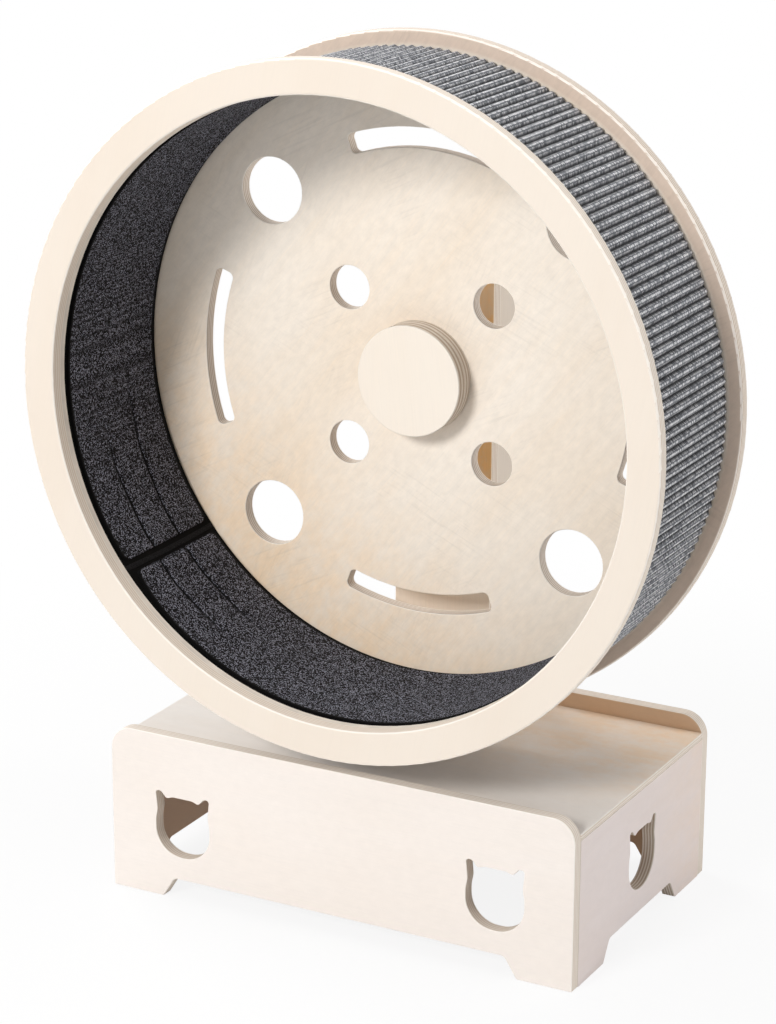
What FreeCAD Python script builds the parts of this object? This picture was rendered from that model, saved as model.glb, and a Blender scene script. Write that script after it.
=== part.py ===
"""Cat exercise wheel: a plywood running drum on a box column and a box base.

Millimetres, +Z up. The wheel turns about an axle that lies along Y, and its open side faces -Y.
Lengths along Y are laid out from the wheel's front face (y = 0). The finished solids are moved so
that the origin is at the middle of the whole object's depth and width, on the floor.
"""
import FreeCAD, Part
import math
import os

from FreeCAD import Vector

# ---- wheel -------------------------------------------------------------------------------------
WHEEL_R = 450.0            # outer radius of the front ring and of the back disc
RING_W = 45.0              # radial width of the front ring
RING_T = 18.0              # thickness of the front ring
RUN_W = 233.0              # running width, from the ring's back to the disc's front
DISC_T = 18.0              # thickness of the back disc
FACE_ROUND = 3.0           # rounding of the ring's and disc's outer edges
HOLE_ROUND = 1.0           # rounding of the edges of the disc's cut-outs
GROOVE_DEEP = 6.0          # depth of the grooves that hold the drum shell
GROOVE_GAP = 0.2           # clearance of the shell in its groove, each side
SHELL_T = 12.0             # bent shell panels
SHELL_PANELS = 4
SHELL_JOINT = 0.3          # gap between neighbouring shell panels
SHELL_START_DEG = 45.0     # where the first shell panel starts
MAT_T = 8.0                # running mat
MAT_PROUD = 0.5            # the mat's surface stands this far inside the ring's bore
MAT_SEAM_DEG = 218.5       # where the mat's two ends meet, from +X towards +Z
MAT_SEAM_GAP = 9.0
MAT_ROUND = 2.5            # rounding of the mat's ends
CARPET_T = 6.5             # ribbed carpet round the drum
HOOP_W = 9.0               # width of the hoop behind the ring, along Y
GLUE_GAP = 0.3             # play between curved faces that are glued or laid on each other

# cut-outs of the back disc
SMALL_HOLE_R = 29.5
SMALL_PITCH_R = 149.0
BIG_HOLE_R = 45.0
BIG_PITCH_R = 313.5
HOLE_COUNT = 4
HOLE_START_DEG = 45.0
SLOT_PITCH_R = 312.5
SLOT_W = 27.0
SLOT_HALF_DEG = 19.8
SLOT_CORNER_R = 8.0

# ---- hub ---------------------------------------------------------------------------------------
HUB_R = 74.0               # hub ring and hub cap
HUB_RING_T = 16.5
HUB_RING_BORE_R = 62.0
HUB_CAP_T = 18.0
CAP_SPIGOT = 2.0           # the cap's spigot in the hub ring
CAP_SPIGOT_GAP = 0.3
HUB_ROUND = 1.5
SLEEVE_R = 30.0            # hub sleeve: barrel that holds both bearings
SLEEVE_L = 58.0
SLEEVE_BORE_R = 20.5       # bore between the bearings
SLEEVE_FLANGE_R = 65.0
SLEEVE_FLANGE_T = 8.0
SLEEVE_FIT = 0.05          # radial clearance of the barrel in the disc
HUB_BOLT_R = 3.0
HUB_BOLT_PITCH_R = 50.0
HUB_BOLT_COUNT = 6
HUB_BOLT_HOLE_GAP = 0.3

# ---- ball bearings (20 x 47 x 14) ----------------------------------------------------------------
BEARING_BORE_R = 10.0
BEARING_OUT_R = 23.5
BEARING_W = 14.0
BEARING_INSET = 1.5        # each bearing lies this far inside its end of the sleeve
INNER_RACE_R = 14.0        # outside of the inner race
OUTER_RACE_R = 19.5        # inside of the outer race
BALL_R = 3.97
BALL_COUNT = 8
BALL_START_DEG = 22.5
BALL_GAP = 0.05            # running clearance of a ball in its grooves
CAGE_T = 2.4
CAGE_W = 10.5
CAGE_POCKET_GAP = 0.12
RACE_FIT = 0.02            # radial clearance of the races on the axle and in the sleeve

# ---- axle --------------------------------------------------------------------------------------
AXLE_R = BEARING_BORE_R
AXLE_SHOULDER_R = INNER_RACE_R
AXLE_FIT = 0.1             # radial clearance of the axle in wood and in washers
AXLE_END = 2.0             # the axle stands out of each nut by this much
AXLE_NUT_T = 10.0
AXLE_NUT_AF = 30.0         # across flats
FRONT_WASHER_R = 15.0
FRONT_WASHER_T = 2.0
REAR_WASHER_R = 22.0
REAR_WASHER_T = 3.0
SPACER_R = 13.0
FLANGE_SIDE = 110.0        # square flange that holds the axle to the column
FLANGE_T = 8.0
FLANGE_CORNER_R = 12.0
FLANGE_SCREW_HALF = 42.0   # coach screws at +- this in X and Z
COACH_R = 4.0
COACH_L = 55.0             # below the head
COACH_GAP = 0.4            # clearance in the flange's holes

# ---- column ------------------------------------------------------------------------------------
COLUMN_GAP = 51.0          # from the back disc to the column
COLUMN_W = 144.0
COLUMN_D = 108.0
COLUMN_PLY = 18.0
COLUMN_FOOT_Z = 60.0       # lower end of the column's plates
COLUMN_TOP_ABOVE = 174.0   # top of the cap above the axle
CAP_T = 18.0
BLOCK_T = 30.0             # bored axle blocks inside the column
BLOCK_HALF_H = 60.0
COLUMN_ROUND = 2.0

# ---- base --------------------------------------------------------------------------------------
BASE_W = 684.0
BASE_SETBACK = 21.5        # base's front face behind the wheel's front face
BOARD_T = 18.0
BOARD_H = 232.5            # front and back boards
CORNER_R = 32.0            # their top corners
WHEEL_CLEAR = 23.5         # from the boards' top to the wheel
PANEL_T = 9.0
LIP_H = 22.5               # boards stand above the top panel by this much
FOOT_L = 78.0              # each foot along its board
FOOT_SLANT = 18.0
ARCH_H = 28.5              # height of the arches between the feet
ARCH_R = 9.0
FOOT_R = 2.0
EDGE_ROUND = 1.6           # rounding along the boards' outer edges
NOTCH_GAP = 0.5            # top panel round the column
HAND_HOLE_X = 232.0        # hand holes in the front and back boards, from the middle
HAND_HOLE_Z = 61.0         # lowest point of every hand hole
HAND_HOLE_EDGE = 1.0       # rounding of the hand holes' edges
CORNER_BLOCK = 28.0
CORNER_BLOCK_Z = 45.0
BLOCK_SCREW_LONG = 2 / 3   # a block's screws into the long boards, from its middle to its end
BLOCK_SCREW_SIDE = 1 / 3   # and into the side boards
CLEAT = 25.0
FIT_GAP = 0.2              # play between wooden pieces that are only pushed together
BRACE_T = 18.0
BRACE_Z = 110.0
DADO = 4.0                 # housing of the braces in the front and back boards

# right half of a hand hole, a cat's head seen from the front: (x, z, corner radius) from the chin
HEAD_HALF = [
    (41.5, 0.0, 39.0),
    (41.5, 50.0, 40.0),
    (38.8, 64.0, 25.0),
    (41.5, 91.0, 4.0),
    (33.0, 91.0, 6.0),
    (25.0, 81.5, 5.0),
    (15.0, 85.0, 15.0),
]

# ---- fasteners ---------------------------------------------------------------------------------
SCREW_R = 2.0
SCREW_HEAD_R = 4.0
SCREW_HEAD_H = 2.4
SCREW_POINT = 3.0
SCREW_GAP = 0.05
SCREW_BITE = 12.0          # depth of a screw in the second piece
COLUMN_BITE = 30.0         # and in the edge of a column plate
BRACE_SCREW_ROWS = 2
COLUMN_SCREW_ROWS = 5
SCREW_END_IN = 40.0        # first and last screw of a row, from the piece's ends
BRACE_SCREW_STEP = 40.0    # between the rows of the braces' screws
BOLT_R = 4.0               # countersunk bolts that hold the column to the back board
BOLT_HEAD_R = 7.5
BOLT_HEAD_H = 4.5
BOLT_X = 32.0
BOLT_Z_LOW = 100.0
BOLT_Z_HIGH = 170.0
BOLT_END = 3.0             # thread that stands out of a nut
BOLT_GAP = 0.3
HEX_HEAD_RATIO = 0.65      # height of a hexagon head by the bolt's diameter
HEX_AF_RATIO = 1.65        # its width across flats
NUT_T_RATIO = 0.8
WASHER_R_RATIO = 1.05      # washer's radius by the bolt's diameter
WASHER_T = 1.6
THREAD_GAP = 0.02
HEX_SIDES = 6
HEX_START_DEG = 30.0

# ---- derived places ------------------------------------------------------------------------------
RING_BORE_R = WHEEL_R - RING_W
MAT_IN_R = RING_BORE_R - MAT_PROUD
MAT_OUT_R = MAT_IN_R + MAT_T
SHELL_IN_R = MAT_OUT_R + GLUE_GAP
SHELL_OUT_R = SHELL_IN_R + SHELL_T
CARPET_IN_R = SHELL_OUT_R + GLUE_GAP
CARPET_OUT_R = CARPET_IN_R + CARPET_T

DISC_Y = RING_T + RUN_W
DISC_BACK_Y = DISC_Y + DISC_T
HUB_RING_Y = DISC_Y - HUB_RING_T
HUB_CAP_Y = HUB_RING_Y - HUB_CAP_T
COLUMN_Y = DISC_BACK_Y + COLUMN_GAP
COLUMN_BACK_Y = COLUMN_Y + COLUMN_D
TOTAL_D = COLUMN_BACK_Y + BOARD_T

AXLE_Z = BOARD_H + WHEEL_CLEAR + WHEEL_R
COLUMN_TOP_Z = AXLE_Z + COLUMN_TOP_ABOVE
PANEL_Z = BOARD_H - LIP_H
UNDER_PANEL_Z = PANEL_Z - PANEL_T
INSIDE_X = BASE_W / 2 - BOARD_T
INSIDE_Y0 = BASE_SETBACK + BOARD_T
INSIDE_Y1 = COLUMN_BACK_Y

SLEEVE_END_Y = DISC_Y + SLEEVE_L
FRONT_BEARING_Y = DISC_Y + BEARING_INSET
REAR_BEARING_Y = SLEEVE_END_Y - BEARING_INSET - BEARING_W
SHOULDER_Y = REAR_BEARING_Y + BEARING_W
FLANGE_Y = COLUMN_Y - FLANGE_T
BALL_PITCH_R = (INNER_RACE_R + OUTER_RACE_R) / 2

Y_AXIS = Vector(0, 1, 0)
ALL_ROUND = 360.0
TINY = 0.01                # two places closer than this are the same place


# ---- basic shapes --------------------------------------------------------------------------------
def box(x0, x1, y0, y1, z0, z1):
    """Return the block between two corners."""
    return Part.makeBox(x1 - x0, y1 - y0, z1 - z0, Vector(x0, y0, z0))


def rod(radius, y0, y1, x=0.0, z=AXLE_Z):
    """Return a cylinder along Y, on the axle's line unless x and z say otherwise."""
    return Part.makeCylinder(radius, y1 - y0, Vector(x, y0, z), Y_AXIS)


def tube(outer, inner, y0, y1):
    """Return a plain ring round the axle's line."""
    return rod(outer, y0, y1).cut(rod(inner, y0, y1))


def polar(radius, degrees):
    """Return the x and z of a point at a radius and angle round the axle."""
    angle = math.radians(degrees)
    return radius * math.cos(angle), AXLE_Z + radius * math.sin(angle)


def spread(count, start_degrees):
    """Return angles that share a full turn evenly."""
    return [start_degrees + ALL_ROUND * i / count for i in range(count)]


def hexagon(across_flats, y0, y1, x=0.0, z=AXLE_Z):
    """Return a hexagonal prism along Y."""
    corner = across_flats / 2 / math.cos(math.pi / HEX_SIDES)
    points = []
    for degrees in spread(HEX_SIDES, HEX_START_DEG):
        angle = math.radians(degrees)
        points.append(Vector(x + corner * math.cos(angle), y0, z + corner * math.sin(angle)))
    points.append(points[0])
    return Part.Face(Part.makePolygon(points)).extrude(Vector(0, y1 - y0, 0))


def rounded_outline(corners):
    """Return a closed wire through corners (u, v, radius), with each corner rounded by an arc."""
    count = len(corners)
    runs = []
    for i, (u, v, radius) in enumerate(corners):
        here = Vector(u, v, 0)
        before = Vector(*corners[i - 1][:2], 0) - here
        after = Vector(*corners[(i + 1) % count][:2], 0) - here
        before.normalize()
        after.normalize()
        half = before.getAngle(after) / 2
        reach = radius / math.tan(half)
        middle = before + after
        middle.normalize()
        centre = here + middle * (radius / math.sin(half))
        runs.append((here + before * reach, centre - middle * radius, here + after * reach))
    edges = []
    for i, (start, middle, end) in enumerate(runs):
        edges.append(Part.Arc(start, middle, end).toShape())
        edges.append(Part.LineSegment(end, runs[(i + 1) % count][0]).toShape())
    return Part.Wire(edges)


def plate_xz(corners, y0, y1):
    """Return a plate with a rounded outline of (x, z, radius) corners between two y values."""
    wire = rounded_outline(corners)
    wire.rotate(Vector(), Vector(1, 0, 0), 90)
    wire.translate(Vector(0, y0, 0))
    return Part.Face(wire).extrude(Vector(0, y1 - y0, 0))


def plate_yz(corners, x0, x1):
    """Return a plate with a rounded outline of (y, z, radius) corners between two x values."""
    plate = plate_xz(corners, 0, x1 - x0)
    plate.rotate(Vector(), Vector(0, 0, 1), 90)
    plate.translate(Vector(x1, 0, 0))
    return plate


def round_edges(solid, radius, wanted):
    """Round those edges of a solid for which wanted(edge) is true."""
    edges = [edge for edge in solid.Edges if wanted(edge)]
    return solid.makeFillet(radius, edges)


def flat_at(edge, axis, value):
    """Tell whether an edge lies wholly in the plane where one coordinate has a value."""
    limits = edge.BoundBox
    low = {"x": limits.XMin, "y": limits.YMin, "z": limits.ZMin}[axis]
    high = {"x": limits.XMax, "y": limits.YMax, "z": limits.ZMax}[axis]
    return abs(low - value) < TINY and abs(high - value) < TINY


def is_circle(edge, radius):
    """Tell whether an edge is a circle of a radius."""
    return isinstance(edge.Curve, Part.Circle) and abs(edge.Curve.Radius - radius) < TINY


def is_upright(edge):
    """Tell whether an edge is a vertical line."""
    limits = edge.BoundBox
    return limits.XLength < TINY and limits.YLength < TINY


def spin(outline):
    """Return the solid that an outline of (y, radius) points sweeps round the axle."""
    points = [Vector(radius, y, AXLE_Z) for y, radius in outline]
    points.append(points[0])
    face = Part.Face(Part.makePolygon(points))
    return face.revolve(Vector(0, 0, AXLE_Z), Y_AXIS, ALL_ROUND)


def sector(outer, inner, y0, y1, start, end, corner=0.0):
    """Return a piece of a ring round the axle between two angles, its ends rounded if asked."""
    def at(radius, degrees):
        x, z = polar(radius, degrees)
        return Vector(x, y0, z)

    middle = (start + end) / 2
    outside = Part.Arc(at(outer, start), at(outer, middle), at(outer, end)).toShape()
    inside = Part.Arc(at(inner, end), at(inner, middle), at(inner, start)).toShape()
    last = Part.LineSegment(at(outer, end), at(inner, end)).toShape()
    first = Part.LineSegment(at(inner, start), at(outer, start)).toShape()
    solid = Part.Face(Part.Wire([outside, last, inside, first])).extrude(Vector(0, y1 - y0, 0))
    if corner:
        def along_y(edge):
            limits = edge.BoundBox
            return limits.XLength < TINY and limits.ZLength < TINY
        solid = round_edges(solid, corner, along_y)
    return solid


# ---- fasteners -----------------------------------------------------------------------------------
def screw(head, direction, length, gap=0.0):
    """Return a countersunk wood screw; with a gap, the space that it needs."""
    along = Vector(*direction)
    start = Vector(*head)
    cone = Part.makeCone(SCREW_HEAD_R + gap, SCREW_R + gap, SCREW_HEAD_H, start, along)
    shank = Part.makeCylinder(SCREW_R + gap, length - SCREW_POINT, start, along)
    tip = start + along * (length - SCREW_POINT)
    point = Part.makeCone(SCREW_R + gap, 0.0, SCREW_POINT + gap, tip, along)
    return cone.fuse([shank, point]).removeSplitter()


def drill(solid, places, length):
    """Cut the space of a row of screws out of a solid."""
    return solid.cut([screw(head, direction, length, SCREW_GAP) for head, direction in places])


def screws(places, length):
    """Return a row of screws."""
    return [screw(head, direction, length) for head, direction in places]


def hex_bolt(radius, y_head, length, x, z):
    """Return a hexagon-head bolt along +Y; its head ends at y_head."""
    head = hexagon(2 * radius * HEX_AF_RATIO, y_head - 2 * radius * HEX_HEAD_RATIO, y_head, x, z)
    return head.fuse(rod(radius, y_head, y_head + length, x, z)).removeSplitter()


def washer(radius, y0, x, z):
    """Return a plain washer for a bolt of a radius."""
    disc = rod(2 * radius * WASHER_R_RATIO, y0, y0 + WASHER_T, x, z)
    return disc.cut(rod(radius + BOLT_GAP, y0, y0 + WASHER_T, x, z))


def nut(radius, y0, thickness, across_flats, x=0.0, z=AXLE_Z):
    """Return a hexagon nut."""
    body = hexagon(across_flats, y0, y0 + thickness, x, z)
    return body.cut(rod(radius + THREAD_GAP, y0, y0 + thickness, x, z))


def four_corners(half_x, half_z, middle_z):
    """Return the four corners of a rectangle in X and Z."""
    return [(sx * half_x, middle_z + sz * half_z) for sx in (-1, 1) for sz in (-1, 1)]


# ---- wheel ---------------------------------------------------------------------------------------
def shell_groove(y0, y1):
    """Return the space of the groove that holds the shell."""
    return tube(SHELL_OUT_R + GROOVE_GAP, SHELL_IN_R - GROOVE_GAP, y0, y1)


def front_ring():
    """Flat ring at the open side, grooved at the back for the shell."""
    ring = tube(WHEEL_R, RING_BORE_R, 0, RING_T)

    def outer_or_front(edge):
        return is_circle(edge, WHEEL_R) or (is_circle(edge, RING_BORE_R) and flat_at(edge, "y", 0))
    ring = round_edges(ring, FACE_ROUND, outer_or_front)
    return ring.cut(shell_groove(RING_T - GROOVE_DEEP, RING_T))


def front_hoop():
    """Thin hoop glued behind the ring; the mat ends against it."""
    return tube(MAT_OUT_R, RING_BORE_R, RING_T, RING_T + HOOP_W)


def shell_panels():
    """Bent panels that make the drum."""
    panels = []
    gap = math.degrees(SHELL_JOINT / SHELL_IN_R)
    share = ALL_ROUND / SHELL_PANELS
    y0 = RING_T - GROOVE_DEEP + GROOVE_GAP
    y1 = DISC_Y + GROOVE_DEEP - GROOVE_GAP
    for start in spread(SHELL_PANELS, SHELL_START_DEG):
        panels.append(sector(SHELL_OUT_R, SHELL_IN_R, y0, y1, start, start + share - gap))
    return panels


def running_mat():
    """Carpet strip inside the drum, with rounded ends that leave a seam."""
    gap = math.degrees(MAT_SEAM_GAP / MAT_IN_R)
    start = MAT_SEAM_DEG + gap / 2
    y0 = RING_T + HOOP_W + GLUE_GAP
    y1 = DISC_Y - GLUE_GAP
    strip = sector(MAT_OUT_R, MAT_IN_R, y0, y1, start, start + ALL_ROUND - gap)

    def inner_end(edge):
        x, z = edge.CenterOfMass.x, edge.CenterOfMass.z - AXLE_Z
        straight = isinstance(edge.Curve, Part.Line)
        return straight and abs(math.hypot(x, z) - MAT_IN_R) < TINY
    return round_edges(strip, MAT_ROUND, inner_end)


def outer_carpet():
    """Carpet glued round the outside of the drum."""
    return tube(CARPET_OUT_R, CARPET_IN_R, RING_T + GLUE_GAP, DISC_Y - GLUE_GAP)


def disc_slot(degrees):
    """Return the space of one curved slot of the disc."""
    outer = SLOT_PITCH_R + SLOT_W / 2
    inner = SLOT_PITCH_R - SLOT_W / 2
    start = degrees - SLOT_HALF_DEG
    end = degrees + SLOT_HALF_DEG
    return sector(outer, inner, DISC_Y, DISC_BACK_Y, start, end, SLOT_CORNER_R)


def hub_bolt_places():
    """Return x and z of the bolts that hold the hub sleeve to the disc."""
    return [polar(HUB_BOLT_PITCH_R, degrees) for degrees in spread(HUB_BOLT_COUNT, 0.0)]


def back_disc():
    """Closed side of the drum, pierced by round holes and curved slots."""
    disc = rod(WHEEL_R, DISC_Y, DISC_BACK_Y)
    disc = round_edges(disc, FACE_ROUND, lambda edge: is_circle(edge, WHEEL_R))
    cuts = [disc_slot(degrees) for degrees in spread(HOLE_COUNT, 0.0)]
    for degrees in spread(HOLE_COUNT, HOLE_START_DEG):
        cuts.append(rod(SMALL_HOLE_R, DISC_Y, DISC_BACK_Y, *polar(SMALL_PITCH_R, degrees)))
        cuts.append(rod(BIG_HOLE_R, DISC_Y, DISC_BACK_Y, *polar(BIG_PITCH_R, degrees)))
    disc = disc.cut(cuts)

    def cut_out_front(edge):
        inside = edge.BoundBox.XLength < WHEEL_R and edge.BoundBox.ZLength < WHEEL_R
        return inside and flat_at(edge, "y", DISC_Y)
    disc = round_edges(disc, HOLE_ROUND, cut_out_front)
    holes = [rod(SLEEVE_R + SLEEVE_FIT, DISC_Y, DISC_BACK_Y)]
    for x, z in hub_bolt_places():
        holes.append(rod(HUB_BOLT_R + HUB_BOLT_HOLE_GAP, DISC_Y, DISC_BACK_Y, x, z))
    holes.append(shell_groove(DISC_Y, DISC_Y + GROOVE_DEEP))
    return disc.cut(holes)


# ---- hub -----------------------------------------------------------------------------------------
def hub_ring():
    """Wooden ring on the disc that surrounds the axle's nut and the bolt heads."""
    ring = tube(HUB_R, HUB_RING_BORE_R, HUB_RING_Y, DISC_Y)

    def back_edge(edge):
        return is_circle(edge, HUB_R) and flat_at(edge, "y", DISC_Y)
    return round_edges(ring, HUB_ROUND, back_edge)


def hub_cap():
    """Round wooden cap with a spigot in the hub ring."""
    cap = rod(HUB_R, HUB_CAP_Y, HUB_RING_Y)
    cap = round_edges(cap, HUB_ROUND, lambda edge: is_circle(edge, HUB_R))
    spigot = rod(HUB_RING_BORE_R - CAP_SPIGOT_GAP, HUB_RING_Y, HUB_RING_Y + CAP_SPIGOT)
    return cap.fuse(spigot).removeSplitter()


def hub_sleeve():
    """Flanged metal sleeve behind the disc that holds the two outer races."""
    seat = BEARING_OUT_R + RACE_FIT
    front_seat = FRONT_BEARING_Y + BEARING_W
    sleeve = spin([
        (DISC_Y, seat),
        (DISC_Y, SLEEVE_R),
        (DISC_BACK_Y, SLEEVE_R),
        (DISC_BACK_Y, SLEEVE_FLANGE_R),
        (DISC_BACK_Y + SLEEVE_FLANGE_T, SLEEVE_FLANGE_R),
        (DISC_BACK_Y + SLEEVE_FLANGE_T, SLEEVE_R),
        (SLEEVE_END_Y, SLEEVE_R),
        (SLEEVE_END_Y, seat),
        (REAR_BEARING_Y, seat),
        (REAR_BEARING_Y, SLEEVE_BORE_R),
        (front_seat, SLEEVE_BORE_R),
        (front_seat, seat),
    ])
    radius = HUB_BOLT_R + HUB_BOLT_HOLE_GAP
    back = DISC_BACK_Y + SLEEVE_FLANGE_T
    return sleeve.cut([rod(radius, DISC_BACK_Y, back, x, z) for x, z in hub_bolt_places()])


def hub_fasteners():
    """Return the bolts, washers and nuts that clamp the sleeve's flange to the disc."""
    clamp = DISC_T + SLEEVE_FLANGE_T
    thickness = 2 * HUB_BOLT_R * NUT_T_RATIO
    length = WASHER_T + clamp + thickness + BOLT_END
    head_y = DISC_Y - WASHER_T
    bolts = []
    washers = []
    nuts = []
    for x, z in hub_bolt_places():
        bolts.append(hex_bolt(HUB_BOLT_R, head_y, length, x, z))
        washers.append(washer(HUB_BOLT_R, head_y, x, z))
        nuts.append(nut(HUB_BOLT_R, DISC_Y + clamp, thickness, 2 * HUB_BOLT_R * HEX_AF_RATIO, x, z))
    return bolts, washers, nuts


# ---- bearings ------------------------------------------------------------------------------------
def ball_track(y_middle):
    """Return the ring-shaped space in which the balls of a bearing run."""
    centre = Vector(0, y_middle, AXLE_Z)
    return Part.makeTorus(BALL_PITCH_R, BALL_R + BALL_GAP, centre, Y_AXIS)


def ball_places(y_middle):
    """Return the centres of a bearing's balls."""
    places = []
    for degrees in spread(BALL_COUNT, BALL_START_DEG):
        x, z = polar(BALL_PITCH_R, degrees)
        places.append(Vector(x, y_middle, z))
    return places


def inner_race(y0):
    """Race that sits on the axle."""
    race = tube(INNER_RACE_R, BEARING_BORE_R + RACE_FIT, y0, y0 + BEARING_W)
    return race.cut(ball_track(y0 + BEARING_W / 2))


def outer_race(y0):
    """Race that sits in the hub sleeve."""
    race = tube(BEARING_OUT_R, OUTER_RACE_R, y0, y0 + BEARING_W)
    return race.cut(ball_track(y0 + BEARING_W / 2))


def ball_cage(y0):
    """Ring that keeps the balls apart."""
    middle = y0 + BEARING_W / 2
    low = middle - CAGE_W / 2
    high = middle + CAGE_W / 2
    ring = tube(BALL_PITCH_R + CAGE_T / 2, BALL_PITCH_R - CAGE_T / 2, low, high)
    centre = Vector(0, middle, AXLE_Z)
    pockets = []
    for at in ball_places(middle):
        outward = (at - centre).normalize()
        start = at - outward * CAGE_T
        pockets.append(Part.makeCylinder(BALL_R + CAGE_POCKET_GAP, 2 * CAGE_T, start, outward))
    return ring.cut(pockets)


def balls(y0):
    """Balls of one bearing."""
    return [Part.makeSphere(BALL_R, at) for at in ball_places(y0 + BEARING_W / 2)]


# ---- axle ----------------------------------------------------------------------------------------
def axle_ends():
    """Return the y of the axle's front and rear ends."""
    front = FRONT_BEARING_Y - FRONT_WASHER_T - AXLE_NUT_T - AXLE_END
    rear = COLUMN_BACK_Y + REAR_WASHER_T + AXLE_NUT_T + AXLE_END
    return front, rear


def axle():
    """Fixed axle with a shoulder between the rear bearing and the column."""
    front, rear = axle_ends()
    return spin([
        (front, 0.0),
        (front, AXLE_R),
        (SHOULDER_Y, AXLE_R),
        (SHOULDER_Y, AXLE_SHOULDER_R),
        (COLUMN_Y, AXLE_SHOULDER_R),
        (COLUMN_Y, AXLE_R),
        (rear, AXLE_R),
        (rear, 0.0),
    ])


def plain_ring(outer, y0, thickness):
    """Return a washer or spacer on the axle."""
    return tube(outer, AXLE_R + AXLE_FIT, y0, y0 + thickness)


def coach_places():
    """Return x and z of the coach screws of the axle's flange."""
    return four_corners(FLANGE_SCREW_HALF, FLANGE_SCREW_HALF, AXLE_Z)


def axle_flange():
    """Square plate on the axle, screwed to the column."""
    half = FLANGE_SIDE / 2
    signs = ((-1, -1), (1, -1), (1, 1), (-1, 1))
    corners = [(sx * half, AXLE_Z + sz * half, FLANGE_CORNER_R) for sx, sz in signs]
    plate = plate_xz(corners, FLANGE_Y, COLUMN_Y)
    holes = [rod(AXLE_SHOULDER_R + AXLE_FIT, FLANGE_Y, COLUMN_Y)]
    for x, z in coach_places():
        holes.append(rod(COACH_R + COACH_GAP, FLANGE_Y, COLUMN_Y, x, z))
    return plate.cut(holes)


def coach_holes():
    """Return the space that the coach screws and the axle need in the wood."""
    end = FLANGE_Y + COACH_L + SCREW_GAP
    holes = [rod(COACH_R + SCREW_GAP, COLUMN_Y, end, x, z) for x, z in coach_places()]
    holes.append(rod(AXLE_R + AXLE_FIT, COLUMN_Y, COLUMN_BACK_Y))
    return holes


def coach_screws():
    """Coach screws of the axle's flange."""
    return [hex_bolt(COACH_R, FLANGE_Y, COACH_L, x, z) for x, z in coach_places()]


# ---- column --------------------------------------------------------------------------------------
def plate_top_z():
    """Return the height at which the column's plates end under the cap."""
    return COLUMN_TOP_Z - CAP_T


def column_screw_places():
    """Return the screws through the back plate into the side plates' edges."""
    first = COLUMN_FOOT_Z + SCREW_END_IN
    step = (plate_top_z() - SCREW_END_IN - first) / (COLUMN_SCREW_ROWS - 1)
    x = (COLUMN_W - COLUMN_PLY) / 2
    places = []
    for row in range(COLUMN_SCREW_ROWS):
        for side in (-1, 1):
            places.append(((side * x, COLUMN_BACK_Y, first + row * step), (0, -1, 0)))
    return places


def column_screw_length():
    """Return the length of the column's screws."""
    return COLUMN_PLY + COLUMN_BITE


def brace_screw_places():
    """Return the screws through the braces into the column's side plates."""
    x = COLUMN_W / 2 + BRACE_T
    middle_z = (BRACE_Z + UNDER_PANEL_Z) / 2
    places = []
    for side in (-1, 1):
        for row in range(BRACE_SCREW_ROWS):
            for y in (COLUMN_Y + SCREW_END_IN, COLUMN_BACK_Y - SCREW_END_IN):
                z = middle_z + (row - (BRACE_SCREW_ROWS - 1) / 2) * BRACE_SCREW_STEP
                places.append(((side * x, y, z), (-side, 0, 0)))
    return places


def bolt_places():
    """Return x and z of the bolts between the back board and the column."""
    middle = (BOLT_Z_LOW + BOLT_Z_HIGH) / 2
    return four_corners(BOLT_X, middle - BOLT_Z_LOW, middle)


def bolt_head(x, z, gap=0.0):
    """Return a countersunk head of the column's bolts; with a gap, the space that it needs."""
    start = Vector(x, TOTAL_D - BOLT_HEAD_H, z)
    return Part.makeCone(BOLT_R + gap, BOLT_HEAD_R + gap, BOLT_HEAD_H, start, Y_AXIS)


def column_front_plate():
    """Front plate of the column, full width."""
    plate = box(-COLUMN_W / 2, COLUMN_W / 2, COLUMN_Y, COLUMN_Y + COLUMN_PLY,
                COLUMN_FOOT_Z, plate_top_z())

    def front_corner(edge):
        return is_upright(edge) and flat_at(edge, "y", COLUMN_Y)
    return round_edges(plate, COLUMN_ROUND, front_corner).cut(coach_holes())


def column_back_plate():
    """Back plate of the column, bolted to the back board."""
    plate = box(-COLUMN_W / 2, COLUMN_W / 2, COLUMN_BACK_Y - COLUMN_PLY, COLUMN_BACK_Y,
                COLUMN_FOOT_Z, plate_top_z())

    def back_corner(edge):
        return is_upright(edge) and flat_at(edge, "y", COLUMN_BACK_Y)
    plate = round_edges(plate, COLUMN_ROUND, back_corner)
    holes = coach_holes()
    for x, z in bolt_places():
        holes.append(rod(BOLT_R + BOLT_GAP, COLUMN_BACK_Y - COLUMN_PLY, COLUMN_BACK_Y, x, z))
    return drill(plate.cut(holes), column_screw_places(), column_screw_length())


def column_side_plate(side):
    """Side plate of the column between its front and back plates."""
    x0, x1 = sorted((side * COLUMN_W / 2, side * (COLUMN_W / 2 - COLUMN_PLY)))
    plate = box(x0, x1, COLUMN_Y + COLUMN_PLY, COLUMN_BACK_Y - COLUMN_PLY,
                COLUMN_FOOT_Z, plate_top_z())
    plate = drill(plate, column_screw_places(), column_screw_length())
    return drill(plate, brace_screw_places(), BRACE_T + SCREW_BITE)


def column_cap():
    """Lid on top of the column."""
    low = plate_top_z()
    cap = box(-COLUMN_W / 2, COLUMN_W / 2, COLUMN_Y, COLUMN_BACK_Y, low, COLUMN_TOP_Z)
    return round_edges(cap, COLUMN_ROUND, lambda edge: not flat_at(edge, "z", low))


def axle_block(y0):
    """Bored block inside the column that carries the axle."""
    half = COLUMN_W / 2 - COLUMN_PLY - FIT_GAP
    block = box(-half, half, y0, y0 + BLOCK_T, AXLE_Z - BLOCK_HALF_H, AXLE_Z + BLOCK_HALF_H)
    return block.cut(coach_holes())


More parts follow.
